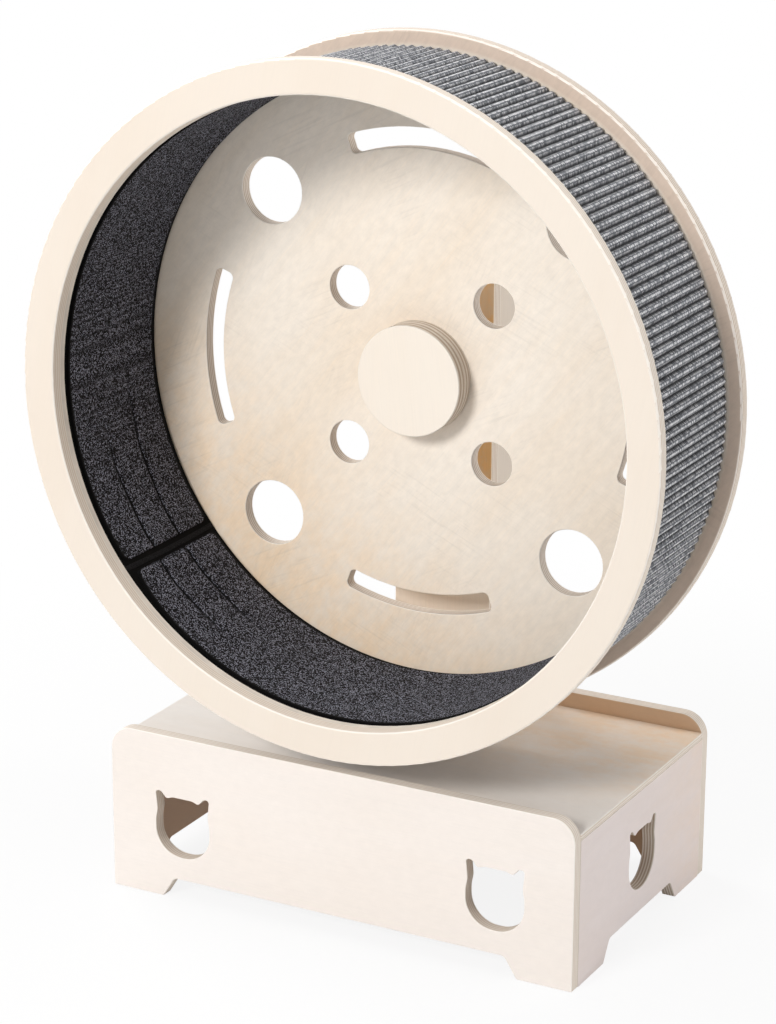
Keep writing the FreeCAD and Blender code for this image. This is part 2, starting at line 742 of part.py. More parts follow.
def column_fasteners():
    """Return the bolts, washers and nuts that hold the column to the back board."""
    seat_y = COLUMN_BACK_Y - COLUMN_PLY
    thickness = 2 * BOLT_R * NUT_T_RATIO
    nut_y = seat_y - WASHER_T - thickness
    bolts = []
    washers = []
    nuts = []
    for x, z in bolt_places():
        shank = rod(BOLT_R, nut_y - BOLT_END, TOTAL_D, x, z)
        bolts.append(shank.fuse(bolt_head(x, z)).removeSplitter())
        washers.append(washer(BOLT_R, seat_y - WASHER_T, x, z))
        nuts.append(nut(BOLT_R, nut_y, thickness, 2 * BOLT_R * HEX_AF_RATIO, x, z))
    return bolts, washers, nuts


# ---- base ----------------------------------------------------------------------------------------
def hand_hole_corners(middle):
    """Return the corners of a cat's-head hand hole round a middle line."""
    right = [(middle + x, HAND_HOLE_Z + z, radius) for x, z, radius in HEAD_HALF]
    left = [(middle - x, HAND_HOLE_Z + z, radius) for x, z, radius in reversed(HEAD_HALF)]
    return right + left


def is_hand_hole(edge):
    """Tell whether an edge lies at the height of the hand holes."""
    top = HAND_HOLE_Z + max(z for x, z, radius in HEAD_HALF)
    return edge.BoundBox.ZMin > HAND_HOLE_Z - TINY and edge.BoundBox.ZMax < top + TINY


def board_corners(low, high, height, top_radius):
    """Return the outline of a board with two feet and an arch between them."""
    foot_low = low + FOOT_L
    foot_high = high - FOOT_L
    return [
        (low, 0.0, FOOT_R),
        (foot_low, 0.0, FOOT_R),
        (foot_low + FOOT_SLANT, ARCH_H, ARCH_R),
        (foot_high - FOOT_SLANT, ARCH_H, ARCH_R),
        (foot_high, 0.0, FOOT_R),
        (high, 0.0, FOOT_R),
        (high, height, top_radius),
        (low, height, top_radius),
    ]


def brace_housings():
    """Return the spaces that the brace ends need in the front and back boards."""
    spaces = []
    for side in (-1, 1):
        x0, x1 = sorted((side * COLUMN_W / 2, side * (COLUMN_W / 2 + BRACE_T)))
        spaces.append(box(x0 - FIT_GAP, x1 + FIT_GAP, INSIDE_Y0 - DADO, INSIDE_Y1 + DADO,
                          BRACE_Z - FIT_GAP, UNDER_PANEL_Z + FIT_GAP))
    return spaces


def long_board(y0, face_y):
    """Front or back board of the base; face_y is its outer face."""
    y1 = y0 + BOARD_T
    board = plate_xz(board_corners(-BASE_W / 2, BASE_W / 2, BOARD_H, CORNER_R), y0, y1)

    def outer_edge(edge):
        return flat_at(edge, "y", y0) or flat_at(edge, "y", y1)
    board = round_edges(board, EDGE_ROUND, outer_edge)
    for side in (-1, 1):
        board = board.cut(plate_xz(hand_hole_corners(side * HAND_HOLE_X), y0, y1))

    def hand_hole_edge(edge):
        return is_hand_hole(edge) and flat_at(edge, "y", face_y)
    return round_edges(board, HAND_HOLE_EDGE, hand_hole_edge).cut(brace_housings())


def front_board():
    """Tall board at the front."""
    board = long_board(BASE_SETBACK, BASE_SETBACK)
    board = drill(board, block_screw_places(), block_screw_length())
    return drill(board, cleat_screw_places(), cleat_screw_length())


def back_board():
    """Tall board at the back, bolted to the column."""
    board = long_board(INSIDE_Y1, TOTAL_D)
    board = drill(board, block_screw_places(), block_screw_length())
    board = drill(board, cleat_screw_places(), cleat_screw_length())
    spaces = []
    for x, z in bolt_places():
        spaces.append(rod(BOLT_R + BOLT_GAP, INSIDE_Y1, TOTAL_D, x, z))
        spaces.append(bolt_head(x, z, BOLT_GAP))
    return board.cut(spaces)


def side_board(side):
    """Lower board at one side, between the front and back boards."""
    x0, x1 = sorted((side * BASE_W / 2, side * INSIDE_X))
    corners = board_corners(INSIDE_Y0, INSIDE_Y1, UNDER_PANEL_Z, FOOT_R)
    board = plate_yz(corners, x0, x1)
    middle = (INSIDE_Y0 + INSIDE_Y1) / 2
    board = board.cut(plate_yz(hand_hole_corners(middle), x0, x1))
    face_x = side * BASE_W / 2

    def hand_hole_edge(edge):
        return is_hand_hole(edge) and flat_at(edge, "x", face_x)
    board = round_edges(board, HAND_HOLE_EDGE, hand_hole_edge)
    return drill(board, block_screw_places(), block_screw_length())


def top_panel():
    """Thin panel on the side boards, notched for the column."""
    panel = box(-BASE_W / 2, BASE_W / 2, INSIDE_Y0, INSIDE_Y1, UNDER_PANEL_Z, PANEL_Z)

    def free_edge(edge):
        at_end = flat_at(edge, "x", -BASE_W / 2) or flat_at(edge, "x", BASE_W / 2)
        return at_end and flat_at(edge, "z", PANEL_Z)
    panel = round_edges(panel, EDGE_ROUND, free_edge)
    half = COLUMN_W / 2 + NOTCH_GAP
    notch = box(-half, half, COLUMN_Y - NOTCH_GAP, INSIDE_Y1, UNDER_PANEL_Z, PANEL_Z)
    return panel.cut(notch)


def block_box(side, back):
    """Return the limits x0, x1, y0, y1 of a corner block."""
    x0, x1 = sorted((side * INSIDE_X, side * (INSIDE_X - CORNER_BLOCK)))
    y0 = INSIDE_Y1 - CORNER_BLOCK if back else INSIDE_Y0
    return x0, x1, y0, y0 + CORNER_BLOCK


def block_screw_length():
    """Return the length of the corner blocks' screws."""
    return CORNER_BLOCK + SCREW_BITE


def block_screw_places():
    """Return the screws through the corner blocks into the boards."""
    places = []
    middle = (CORNER_BLOCK_Z + UNDER_PANEL_Z) / 2
    reach = middle - CORNER_BLOCK_Z
    for side in (-1, 1):
        for back in (False, True):
            x0, x1, y0, y1 = block_box(side, back)
            inner_x = x0 if side > 0 else x1
            inner_y = y0 if back else y1
            along_y = 1 if back else -1
            for level in (-1, 1):
                z_long = middle + level * reach * BLOCK_SCREW_LONG
                z_side = middle + level * reach * BLOCK_SCREW_SIDE
                places.append((((x0 + x1) / 2, inner_y, z_long), (0, along_y, 0)))
                places.append(((inner_x, (y0 + y1) / 2, z_side), (side, 0, 0)))
    return places


def corner_block(side, back):
    """Upright block that joins two boards at a corner of the base."""
    x0, x1, y0, y1 = block_box(side, back)
    block = box(x0, x1, y0, y1, CORNER_BLOCK_Z, UNDER_PANEL_Z)
    return drill(block, block_screw_places(), block_screw_length())


def cleat_box(side, back):
    """Return the limits x0, x1, y0, y1 of a cleat under the top panel."""
    near = COLUMN_W / 2 + BRACE_T + FIT_GAP
    far = INSIDE_X - CORNER_BLOCK - FIT_GAP
    x0, x1 = sorted((side * near, side * far))
    y0 = INSIDE_Y1 - CLEAT if back else INSIDE_Y0
    return x0, x1, y0, y0 + CLEAT


def cleat_screw_length():
    """Return the length of the screws through the cleats into the boards."""
    return CLEAT + SCREW_BITE


def cleat_screw_places():
    """Return the level screws through the cleats into the front and back boards."""
    places = []
    z = UNDER_PANEL_Z - CLEAT / 2
    for side in (-1, 1):
        for back in (False, True):
            x0, x1, y0, y1 = cleat_box(side, back)
            head_y = y0 if back else y1
            for x in (x0 + SCREW_END_IN, x1 - SCREW_END_IN):
                places.append(((x, head_y, z), (0, 1 if back else -1, 0)))
    return places


def cleat(side, back):
    """Batten under the top panel."""
    x0, x1, y0, y1 = cleat_box(side, back)
    batten = box(x0, x1, y0, y1, UNDER_PANEL_Z - CLEAT, UNDER_PANEL_Z)
    return drill(batten, cleat_screw_places(), cleat_screw_length())


def brace(side):
    """Long board beside the column, housed in the front and back boards."""
    x0, x1 = sorted((side * COLUMN_W / 2, side * (COLUMN_W / 2 + BRACE_T)))
    y0 = INSIDE_Y0 - DADO + FIT_GAP
    y1 = INSIDE_Y1 + DADO - FIT_GAP
    board = box(x0, x1, y0, y1, BRACE_Z, UNDER_PANEL_Z)
    return drill(board, brace_screw_places(), BRACE_T + SCREW_BITE)


# ---- the whole object ------------------------------------------------------------------------------
def wheel_nodes():
    """Return the pieces that turn with the wheel."""
    bolts, washers, nuts = hub_fasteners()
    nodes = {
        "front_ring": [front_ring()],
        "front_hoop": [front_hoop()],
        "running_mat": [running_mat()],
        "outer_carpet": [outer_carpet()],
        "back_disc": [back_disc()],
        "hub_ring": [hub_ring()],
        "hub_cap": [hub_cap()],
        "hub_sleeve": [hub_sleeve()],
        "front_bearing_outer_race": [outer_race(FRONT_BEARING_Y)],
        "rear_bearing_outer_race": [outer_race(REAR_BEARING_Y)],
        "hub_bolts": bolts,
        "hub_washers": washers,
        "hub_nuts": nuts,
    }
    for number, panel in enumerate(shell_panels(), 1):
        nodes[f"shell_panel_{number}"] = [panel]
    return nodes


def cage_nodes():
    """Return the pieces that turn with the ball cages."""
    return {
        "front_bearing_cage": [ball_cage(FRONT_BEARING_Y)],
        "front_bearing_balls": balls(FRONT_BEARING_Y),
        "rear_bearing_cage": [ball_cage(REAR_BEARING_Y)],
        "rear_bearing_balls": balls(REAR_BEARING_Y),
    }


def axle_nodes():
    """Return the fixed axle and what is on it."""
    front_washer_y = FRONT_BEARING_Y - FRONT_WASHER_T
    spacer_y = FRONT_BEARING_Y + BEARING_W
    rear_nut_y = COLUMN_BACK_Y + REAR_WASHER_T
    return {
        "axle": [axle()],
        "axle_flange": [axle_flange()],
        "coach_screws": coach_screws(),
        "axle_front_washer": [plain_ring(FRONT_WASHER_R, front_washer_y, FRONT_WASHER_T)],
        "axle_front_nut": [nut(AXLE_R, front_washer_y - AXLE_NUT_T, AXLE_NUT_T, AXLE_NUT_AF)],
        "axle_rear_washer": [plain_ring(REAR_WASHER_R, COLUMN_BACK_Y, REAR_WASHER_T)],
        "axle_rear_nut": [nut(AXLE_R, rear_nut_y, AXLE_NUT_T, AXLE_NUT_AF)],
        "bearing_spacer": [plain_ring(SPACER_R, spacer_y, REAR_BEARING_Y - spacer_y)],
        "front_bearing_inner_race": [inner_race(FRONT_BEARING_Y)],
        "rear_bearing_inner_race": [inner_race(REAR_BEARING_Y)],
    }


def column_nodes():
    """Return the column and its fasteners."""
    bolts, washers, nuts = column_fasteners()
    return {
        "column_front_plate": [column_front_plate()],
        "column_back_plate": [column_back_plate()],
        "column_left_plate": [column_side_plate(-1)],
        "column_right_plate": [column_side_plate(1)],
        "column_cap": [column_cap()],
        "front_axle_block": [axle_block(COLUMN_Y + COLUMN_PLY)],
        "rear_axle_block": [axle_block(COLUMN_BACK_Y - COLUMN_PLY - BLOCK_T)],
        "column_screws": screws(column_screw_places(), column_screw_length()),
        "column_bolts": bolts,
        "column_washers": washers,
        "column_nuts": nuts,
    }


def base_nodes():
    """Return the base and its fasteners."""
    nodes = {
        "front_board": [front_board()],
        "back_board": [back_board()],
        "left_side_board": [side_board(-1)],
        "right_side_board": [side_board(1)],
        "top_panel": [top_panel()],
        "left_brace": [brace(-1)],
        "right_brace": [brace(1)],
        "block_screws": screws(block_screw_places(), block_screw_length()),
        "cleat_screws": screws(cleat_screw_places(), cleat_screw_length()),
        "brace_screws": screws(brace_screw_places(), BRACE_T + SCREW_BITE),
    }
    for side, side_name in ((-1, "left"), (1, "right")):
        for back, end_name in ((False, "front"), (True, "back")):
            nodes[f"{end_name}_{side_name}_corner_block"] = [corner_block(side, back)]
            nodes[f"{end_name}_{side_name}_cleat"] = [cleat(side, back)]
    return nodes


def save(node, solids):
    """Move a node's solids to the object's frame and write them."""
    shape = solids[0] if len(solids) == 1 else Part.makeCompound(solids)
    shape.translate(Vector(0, -TOTAL_D / 2, 0))
    if not shape.isValid():
        raise ValueError(f"{node} is not a valid shape")
    shape.exportStep(f"parts/{node}.step")
    print(f"{node}: {len(shape.Solids)} solid(s), {shape.Volume / 1000:.1f} cm3")


def main():
    """Write every node."""
    os.makedirs("parts", exist_ok=True)
    for group in (base_nodes(), column_nodes(), axle_nodes(), cage_nodes(), wheel_nodes()):
        for node, solids in group.items():
            save(node, solids)


main()
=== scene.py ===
"""Looks of a cat exercise wheel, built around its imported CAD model.

Lengths are metres in the model's own frame: the origin is on the floor under the middle of the
whole object, +X is to the right seen from the wheel's open front, +Y runs from that front to the
back board and +Z is up. The wheel turns about a level line along Y.
"""
from __future__ import annotations

import logging
import math
from collections.abc import Iterable, Sequence
from dataclasses import dataclass
from enum import Enum

import bmesh
import bpy
from mathutils import Matrix, Vector, noise

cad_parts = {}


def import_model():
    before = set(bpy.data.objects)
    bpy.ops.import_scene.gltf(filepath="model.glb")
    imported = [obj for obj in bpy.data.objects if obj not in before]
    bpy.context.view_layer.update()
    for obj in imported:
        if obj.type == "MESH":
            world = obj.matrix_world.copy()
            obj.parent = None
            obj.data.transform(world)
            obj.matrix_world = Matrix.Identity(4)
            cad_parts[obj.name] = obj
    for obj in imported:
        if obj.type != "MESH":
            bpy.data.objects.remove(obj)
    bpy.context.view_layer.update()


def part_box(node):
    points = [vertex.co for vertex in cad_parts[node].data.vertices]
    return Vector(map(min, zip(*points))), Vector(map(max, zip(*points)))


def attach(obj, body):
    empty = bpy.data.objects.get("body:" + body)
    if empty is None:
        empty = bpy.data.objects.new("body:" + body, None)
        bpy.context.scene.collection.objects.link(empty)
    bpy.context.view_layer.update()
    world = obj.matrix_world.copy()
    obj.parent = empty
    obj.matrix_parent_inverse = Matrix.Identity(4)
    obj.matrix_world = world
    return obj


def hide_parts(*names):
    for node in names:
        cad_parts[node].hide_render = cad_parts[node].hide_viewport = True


LOG = logging.getLogger("cat_wheel")
MM = 0.001
FULL_TURN = 2 * math.pi
TINY = 0.01 * MM
MERGE = 0.002 * MM
EVERYWHERE = (-1.2, -1.0)  # a step that is over before the object starts
SIDES = (-1, 1)
SHELL_PANELS = [f"shell_panel_{number}" for number in range(1, 5)]
Colour = tuple[float, float, float]
Profile = list[tuple[float, float]]
Settings = dict[str, object] | None
Sockets = dict[str | int, object] | None
Metals = dict[str, bpy.types.Material]


def rgb(red: int, green: int, blue: int) -> Colour:
    """Give the linear colour of an 8-bit one.

    Args:
        red: Red share, 0 to 255.
        green: Green share, 0 to 255.
        blue: Blue share, 0 to 255.

    Returns:
        The three linear shares, 0 to 1.
    """
    def straighten(value: int) -> float:
        """Undo the display curve for one share."""
        share = value / 255
        return share / 12.92 if share <= 0.04045 else ((share + 0.055) / 1.055) ** 2.4
    return straighten(red), straighten(green), straighten(blue)


# ---- shader tools --------------------------------------------------------------------------------
class Signal:
    """One output of a shader node; arithmetic on it adds Math nodes."""

    def __init__(self, shader: Shader, socket: bpy.types.NodeSocket) -> None:
        """Wrap a socket of a shader's tree."""
        self.shader = shader
        self.socket = socket

    def __add__(self, other: Signal | float) -> Signal:
        """Add."""
        return self.shader.math("ADD", self, other)

    __radd__ = __add__

    def __sub__(self, other: Signal | float) -> Signal:
        """Subtract another value from this one."""
        return self.shader.math("SUBTRACT", self, other)

    def __rsub__(self, other: Signal | float) -> Signal:
        """Subtract this value from another one."""
        return self.shader.math("SUBTRACT", other, self)

    def __mul__(self, other: Signal | float) -> Signal:
        """Multiply."""
        return self.shader.math("MULTIPLY", self, other)

    __rmul__ = __mul__

    def __truediv__(self, other: Signal | float) -> Signal:
        """Divide this value by another one."""
        return self.shader.math("DIVIDE", self, other)

    def __rtruediv__(self, other: Signal | float) -> Signal:
        """Divide another value by this one."""
        return self.shader.math("DIVIDE", other, self)

    def __pow__(self, power: float) -> Signal:
        """Raise to a power."""
        return self.shader.math("POWER", self, power)

    def __mod__(self, size: float) -> Signal:
        """Give the remainder, never negative."""
        return self.shader.math("FLOORED_MODULO", self, size)

    def __abs__(self) -> Signal:
        """Drop the sign."""
        return self.shader.math("ABSOLUTE", self)

    def sine(self) -> Signal:
        """Give the sine."""
        return self.shader.math("SINE", self)

    def floor(self) -> Signal:
        """Round down."""
        return self.shader.math("FLOOR", self)

    def rise(self, low: float, high: float) -> Signal:
        """Give 0 at low and 1 at high, with a smooth step between them.

        Args:
            low: Where the step starts.
            high: Where it ends; a value under low turns the step round.

        Returns:
            The stepped value.
        """
        sockets = {"Value": self, "From Min": low, "From Max": high}
        settings = {"interpolation_type": "SMOOTHSTEP"}
        return self.shader.signal("MapRange", settings, sockets, "Result")


class Shader:
    """The node tree of one material, or of the world."""

    def __init__(self, owner: bpy.types.Material | bpy.types.World) -> None:
        """Start with an empty tree.

        Args:
            owner: The material or world that the tree shades.
        """
        owner.use_nodes = True
        self.owner = owner
        self.tree = owner.node_tree
        self.tree.nodes.clear()

    @classmethod
    def named(cls, name: str) -> Shader:
        """Start a new material."""
        return cls(bpy.data.materials.new(name))

    def node(self, kind: str, settings: Settings = None,
             sockets: Sockets = None) -> bpy.types.Node:
        """Add a node.

        Args:
            kind: The node's type, without "ShaderNode".
            settings: The node's own settings, which are made first; "stops" are a ramp's.
            sockets: A value or a link for each named or numbered input.

        Returns:
            The node.
        """
        made = self.tree.nodes.new("ShaderNode" + kind)
        for key, value in (settings or {}).items():
            if key == "stops":
                self._set_stops(made.color_ramp, value)
            else:
                setattr(made, key, value)
        for key, value in (sockets or {}).items():
            source = value.socket if isinstance(value, Signal) else value
            if isinstance(source, bpy.types.NodeSocket):
                self.tree.links.new(source, made.inputs[key])
            else:
                made.inputs[key].default_value = source
        return made

    @staticmethod
    def _set_stops(ramp: bpy.types.ColorRamp, stops: list[tuple[float, Colour]]) -> None:
        """Put a ramp's stops in place.

        Args:
            ramp: The ramp, which has two stops at first.
            stops: The place and the colour of each stop.
        """
        while len(ramp.elements) < len(stops):
            ramp.elements.new(0.5)
        for element, (place, colour) in zip(ramp.elements, stops):
            element.position = place
            element.color = (*colour, 1)

    def signal(self, kind: str, settings: Settings = None, sockets: Sockets = None,
               output: int | str = 0) -> Signal:
        """Add a node and give one of its outputs.

        Args:
            kind: The node's type, without "ShaderNode".
            settings: The node's own settings.
            sockets: Its inputs.
            output: The number or the name of the output.

        Returns:
            The output.
        """
        return Signal(self, self.node(kind, settings, sockets).outputs[output])

    def outputs(self, node: bpy.types.Node, *names: str) -> list[Signal]:
        """Give several outputs of a node by their names."""
        return [Signal(self, node.outputs[name]) for name in names]

    def math(self, operation: str, *values: Signal | float) -> Signal:
        """Add a Math node that works out one or two values."""
        return self.signal("Math", {"operation": operation}, dict(enumerate(values)))

    def vector_math(self, operation: str, *values: Signal | Colour, output: int = 0) -> Signal:
        """Add a Vector Math node; its output 1 is a number, such as a length."""
        return self.signal("VectorMath", {"operation": operation}, dict(enumerate(values)), output)

    def coordinates(self) -> list[Signal]:
        """Give the object's own coordinates and its own normal."""
        return self.outputs(self.node("TexCoord"), "Object", "Normal")

    def dot(self, vector: Signal, direction: Vector) -> Signal:
        """Measure a vector along a fixed direction of length one."""
        return self.vector_math("DOT_PRODUCT", vector, tuple(direction), output=1)

    def vector(self, x: Signal | float, y: Signal | float, z: Signal | float = 0.0) -> Signal:
        """Put three values together as a vector."""
        return self.signal("CombineXYZ", None, {0: x, 1: y, 2: z})

    def split(self, vector: Signal) -> list[Signal]:
        """Give the three values of a vector."""
        return self.outputs(self.node("SeparateXYZ", None, {0: vector}), "X", "Y", "Z")

    def noise(self, vector: Signal, scale: float, detail: float = 2.0,
              roughness: float = 0.5) -> Signal:
        """Add a noise pattern.

        Args:
            vector: Where it is read.
            scale: Lumps in a metre, about.
            detail: How many finer layers it has.
            roughness: How strong these are.

        Returns:
            The pattern, 0 to 1.
        """
        sockets = {"Vector": vector, "Scale": scale, "Detail": detail, "Roughness": roughness}
        return self.signal("TexNoise", None, sockets)

    def ramp(self, share: Signal, *stops: tuple[float, Colour]) -> Signal:
        """Turn a share into a colour by the places and colours of a ramp's stops."""
        return self.signal("ValToRGB", {"stops": list(stops)}, {0: share})

    def mix(self, share: Signal | float, first: Signal | Colour, second: Signal | Colour) -> Signal:
        """Mix two colours.

        Args:
            share: How much of the second is in it.
            first: One colour.
            second: The other colour.

        Returns:
            The mixed colour.
        """
        ends = [(*end, 1) if isinstance(end, tuple) else end for end in (first, second)]
        return self.signal("Mix", {"data_type": "RGBA"}, {0: share, 6: ends[0], 7: ends[1]}, 2)

    def shade(self, colour: Signal | Colour, factor: Signal) -> Signal:
        """Make a colour brighter or darker by a factor near one."""
        return self.vector_math("MULTIPLY", colour, self.vector(factor, factor, factor))

    def bump(self, height: Signal, strength: float, distance: float) -> Signal:
        """Turn a height pattern into a normal.

        Args:
            height: The pattern, 0 to 1.
            strength: How much of it is used.
            distance: How high a value of one stands.

        Returns:
            The normal.
        """
        sockets = {"Strength": strength, "Distance": distance, "Height": height}
        return self.signal("Bump", None, sockets)

    def surface(self, sockets: Sockets) -> bpy.types.Material:
        """End the tree with a principled shader.

        Args:
            sockets: That shader's inputs.

        Returns:
            The finished material.
        """
        skin = self.node("BsdfPrincipled", None, sockets)
        self.node("OutputMaterial", None, {"Surface": skin.outputs["BSDF"]})
        return self.owner

    def blend(self, output: str, share: Signal, *skins: bpy.types.Node) -> None:
        """End the tree with a mix of two shaders.

        Args:
            output: The output node's type, without "ShaderNode".
            share: How much of the second shader is in it.
            skins: The two shaders.
        """
        first, second = (skin.outputs[0] for skin in skins)
        both = self.node("MixShader", None, {0: share, 1: first, 2: second})
        self.node(output, None, {"Surface": both.outputs[0]})


# ---- finishes ------------------------------------------------------------------------------------
@dataclass(frozen=True)
class Streaks:
    """Noise that is stretched along a grain, with its lumps in a metre each way."""

    along: float
    across: float
    seed: float = 0.0
    detail: float = 3.0
    roughness: float = 0.5

    def over(self, shader: Shader, along: Signal, across: Signal) -> Signal:
        """Lay the noise over places that are measured along and across the grain."""
        place = shader.vector(along * self.along, across * self.across, self.seed)
        return shader.noise(place, 1.0, self.detail, self.roughness)


class Lie(Enum):
    """How a sheet of plywood lies: the direction that its two faces look in."""

    UPRIGHT_FRONT = (0.0, 1.0, 0.0)
    UPRIGHT_SIDE = (1.0, 0.0, 0.0)
    LEVEL = (0.0, 0.0, 1.0)

    @property
    def normal(self) -> Vector:
        """Direction through the sheet."""
        return Vector(self.value)

    def grain(self, degrees: float) -> Vector:
        """Give the direction of the face veneer's grain.

        Args:
            degrees: Angle from the sheet's level direction, X or Y.

        Returns:
            A direction in the sheet.
        """
        level = Vector((0, 1, 0)) if self is Lie.UPRIGHT_SIDE else Vector((1, 0, 0))
        return Matrix.Rotation(math.radians(-degrees), 3, self.normal) @ level


class Veneer(Enum):
    """Face veneers by their ground colour and the colour of their figure."""

    BIRCH = (rgb(228, 217, 204), rgb(215, 195, 172))
    CLEAR_BIRCH = (rgb(244, 234, 221), rgb(232, 208, 178))
    PALE_BIRCH = (rgb(234, 226, 219), rgb(226, 213, 200))
    WHITE_BIRCH = (rgb(249, 242, 234), rgb(224, 201, 176))
    DULL_BIRCH = (rgb(238, 226, 222), rgb(220, 198, 178))
    WARM_POPLAR = (rgb(230, 199, 168), rgb(208, 165, 128))


@dataclass(frozen=True)
class HeartwoodAndShade:
    """A zone of warmer tint, heartwood on the base boards and painted shade on the disc and the
    column: where it starts and is full, across and along the grain.
    """

    across: tuple[float, float] = EVERYWHERE
    along: tuple[float, float] = EVERYWHERE
    strength: float = 0.9
    tint: Colour = rgb(248, 204, 146)

    RAGGED = 12 * MM
    PATCHES = Streaks(18, 26, 3.0, 4.0, 0.68)
    PATCH_EDGES = (0.32, 0.68)
    BETWEEN_PATCHES = 0.55
    IN_PATCHES = 0.9

    def share(self, shader: Shader, along: Signal, across: Signal, figure: Signal) -> Signal:
        """Give the share of the warmer tint.

        Args:
            shader: The veneer's shader.
            along: Metres along the grain.
            across: Metres across it.
            figure: The veneer's figure, which frays the zone's edge.

        Returns:
            The share, patchy within the zone.
        """
        ragged = figure * self.RAGGED
        zone = (across + ragged).rise(*self.across) * (along + ragged).rise(*self.along)
        patches = self.PATCHES.over(shader, along, across).rise(*self.PATCH_EDGES)
        return zone * (patches * self.IN_PATCHES + self.BETWEEN_PATCHES) * self.strength


@dataclass(frozen=True)
class PaintedShadeBand:
    """Painted shade: a darker, warmer band of a round board's front face outside a radius, which
    the drum shades.
    """

    centre: Vector
    radius: float
    tint: Colour = rgb(214, 192, 174)

    EDGE = 4 * MM
    STRENGTH = 0.85

    def share(self, shader: Shader, place: Signal) -> Signal:
        """Give the share of the painted shade's tint from the distance to the centre."""
        radius = shader.vector_math("DISTANCE", place, tuple(self.centre), output=1)
        return (radius - self.radius).rise(-self.EDGE, self.EDGE)


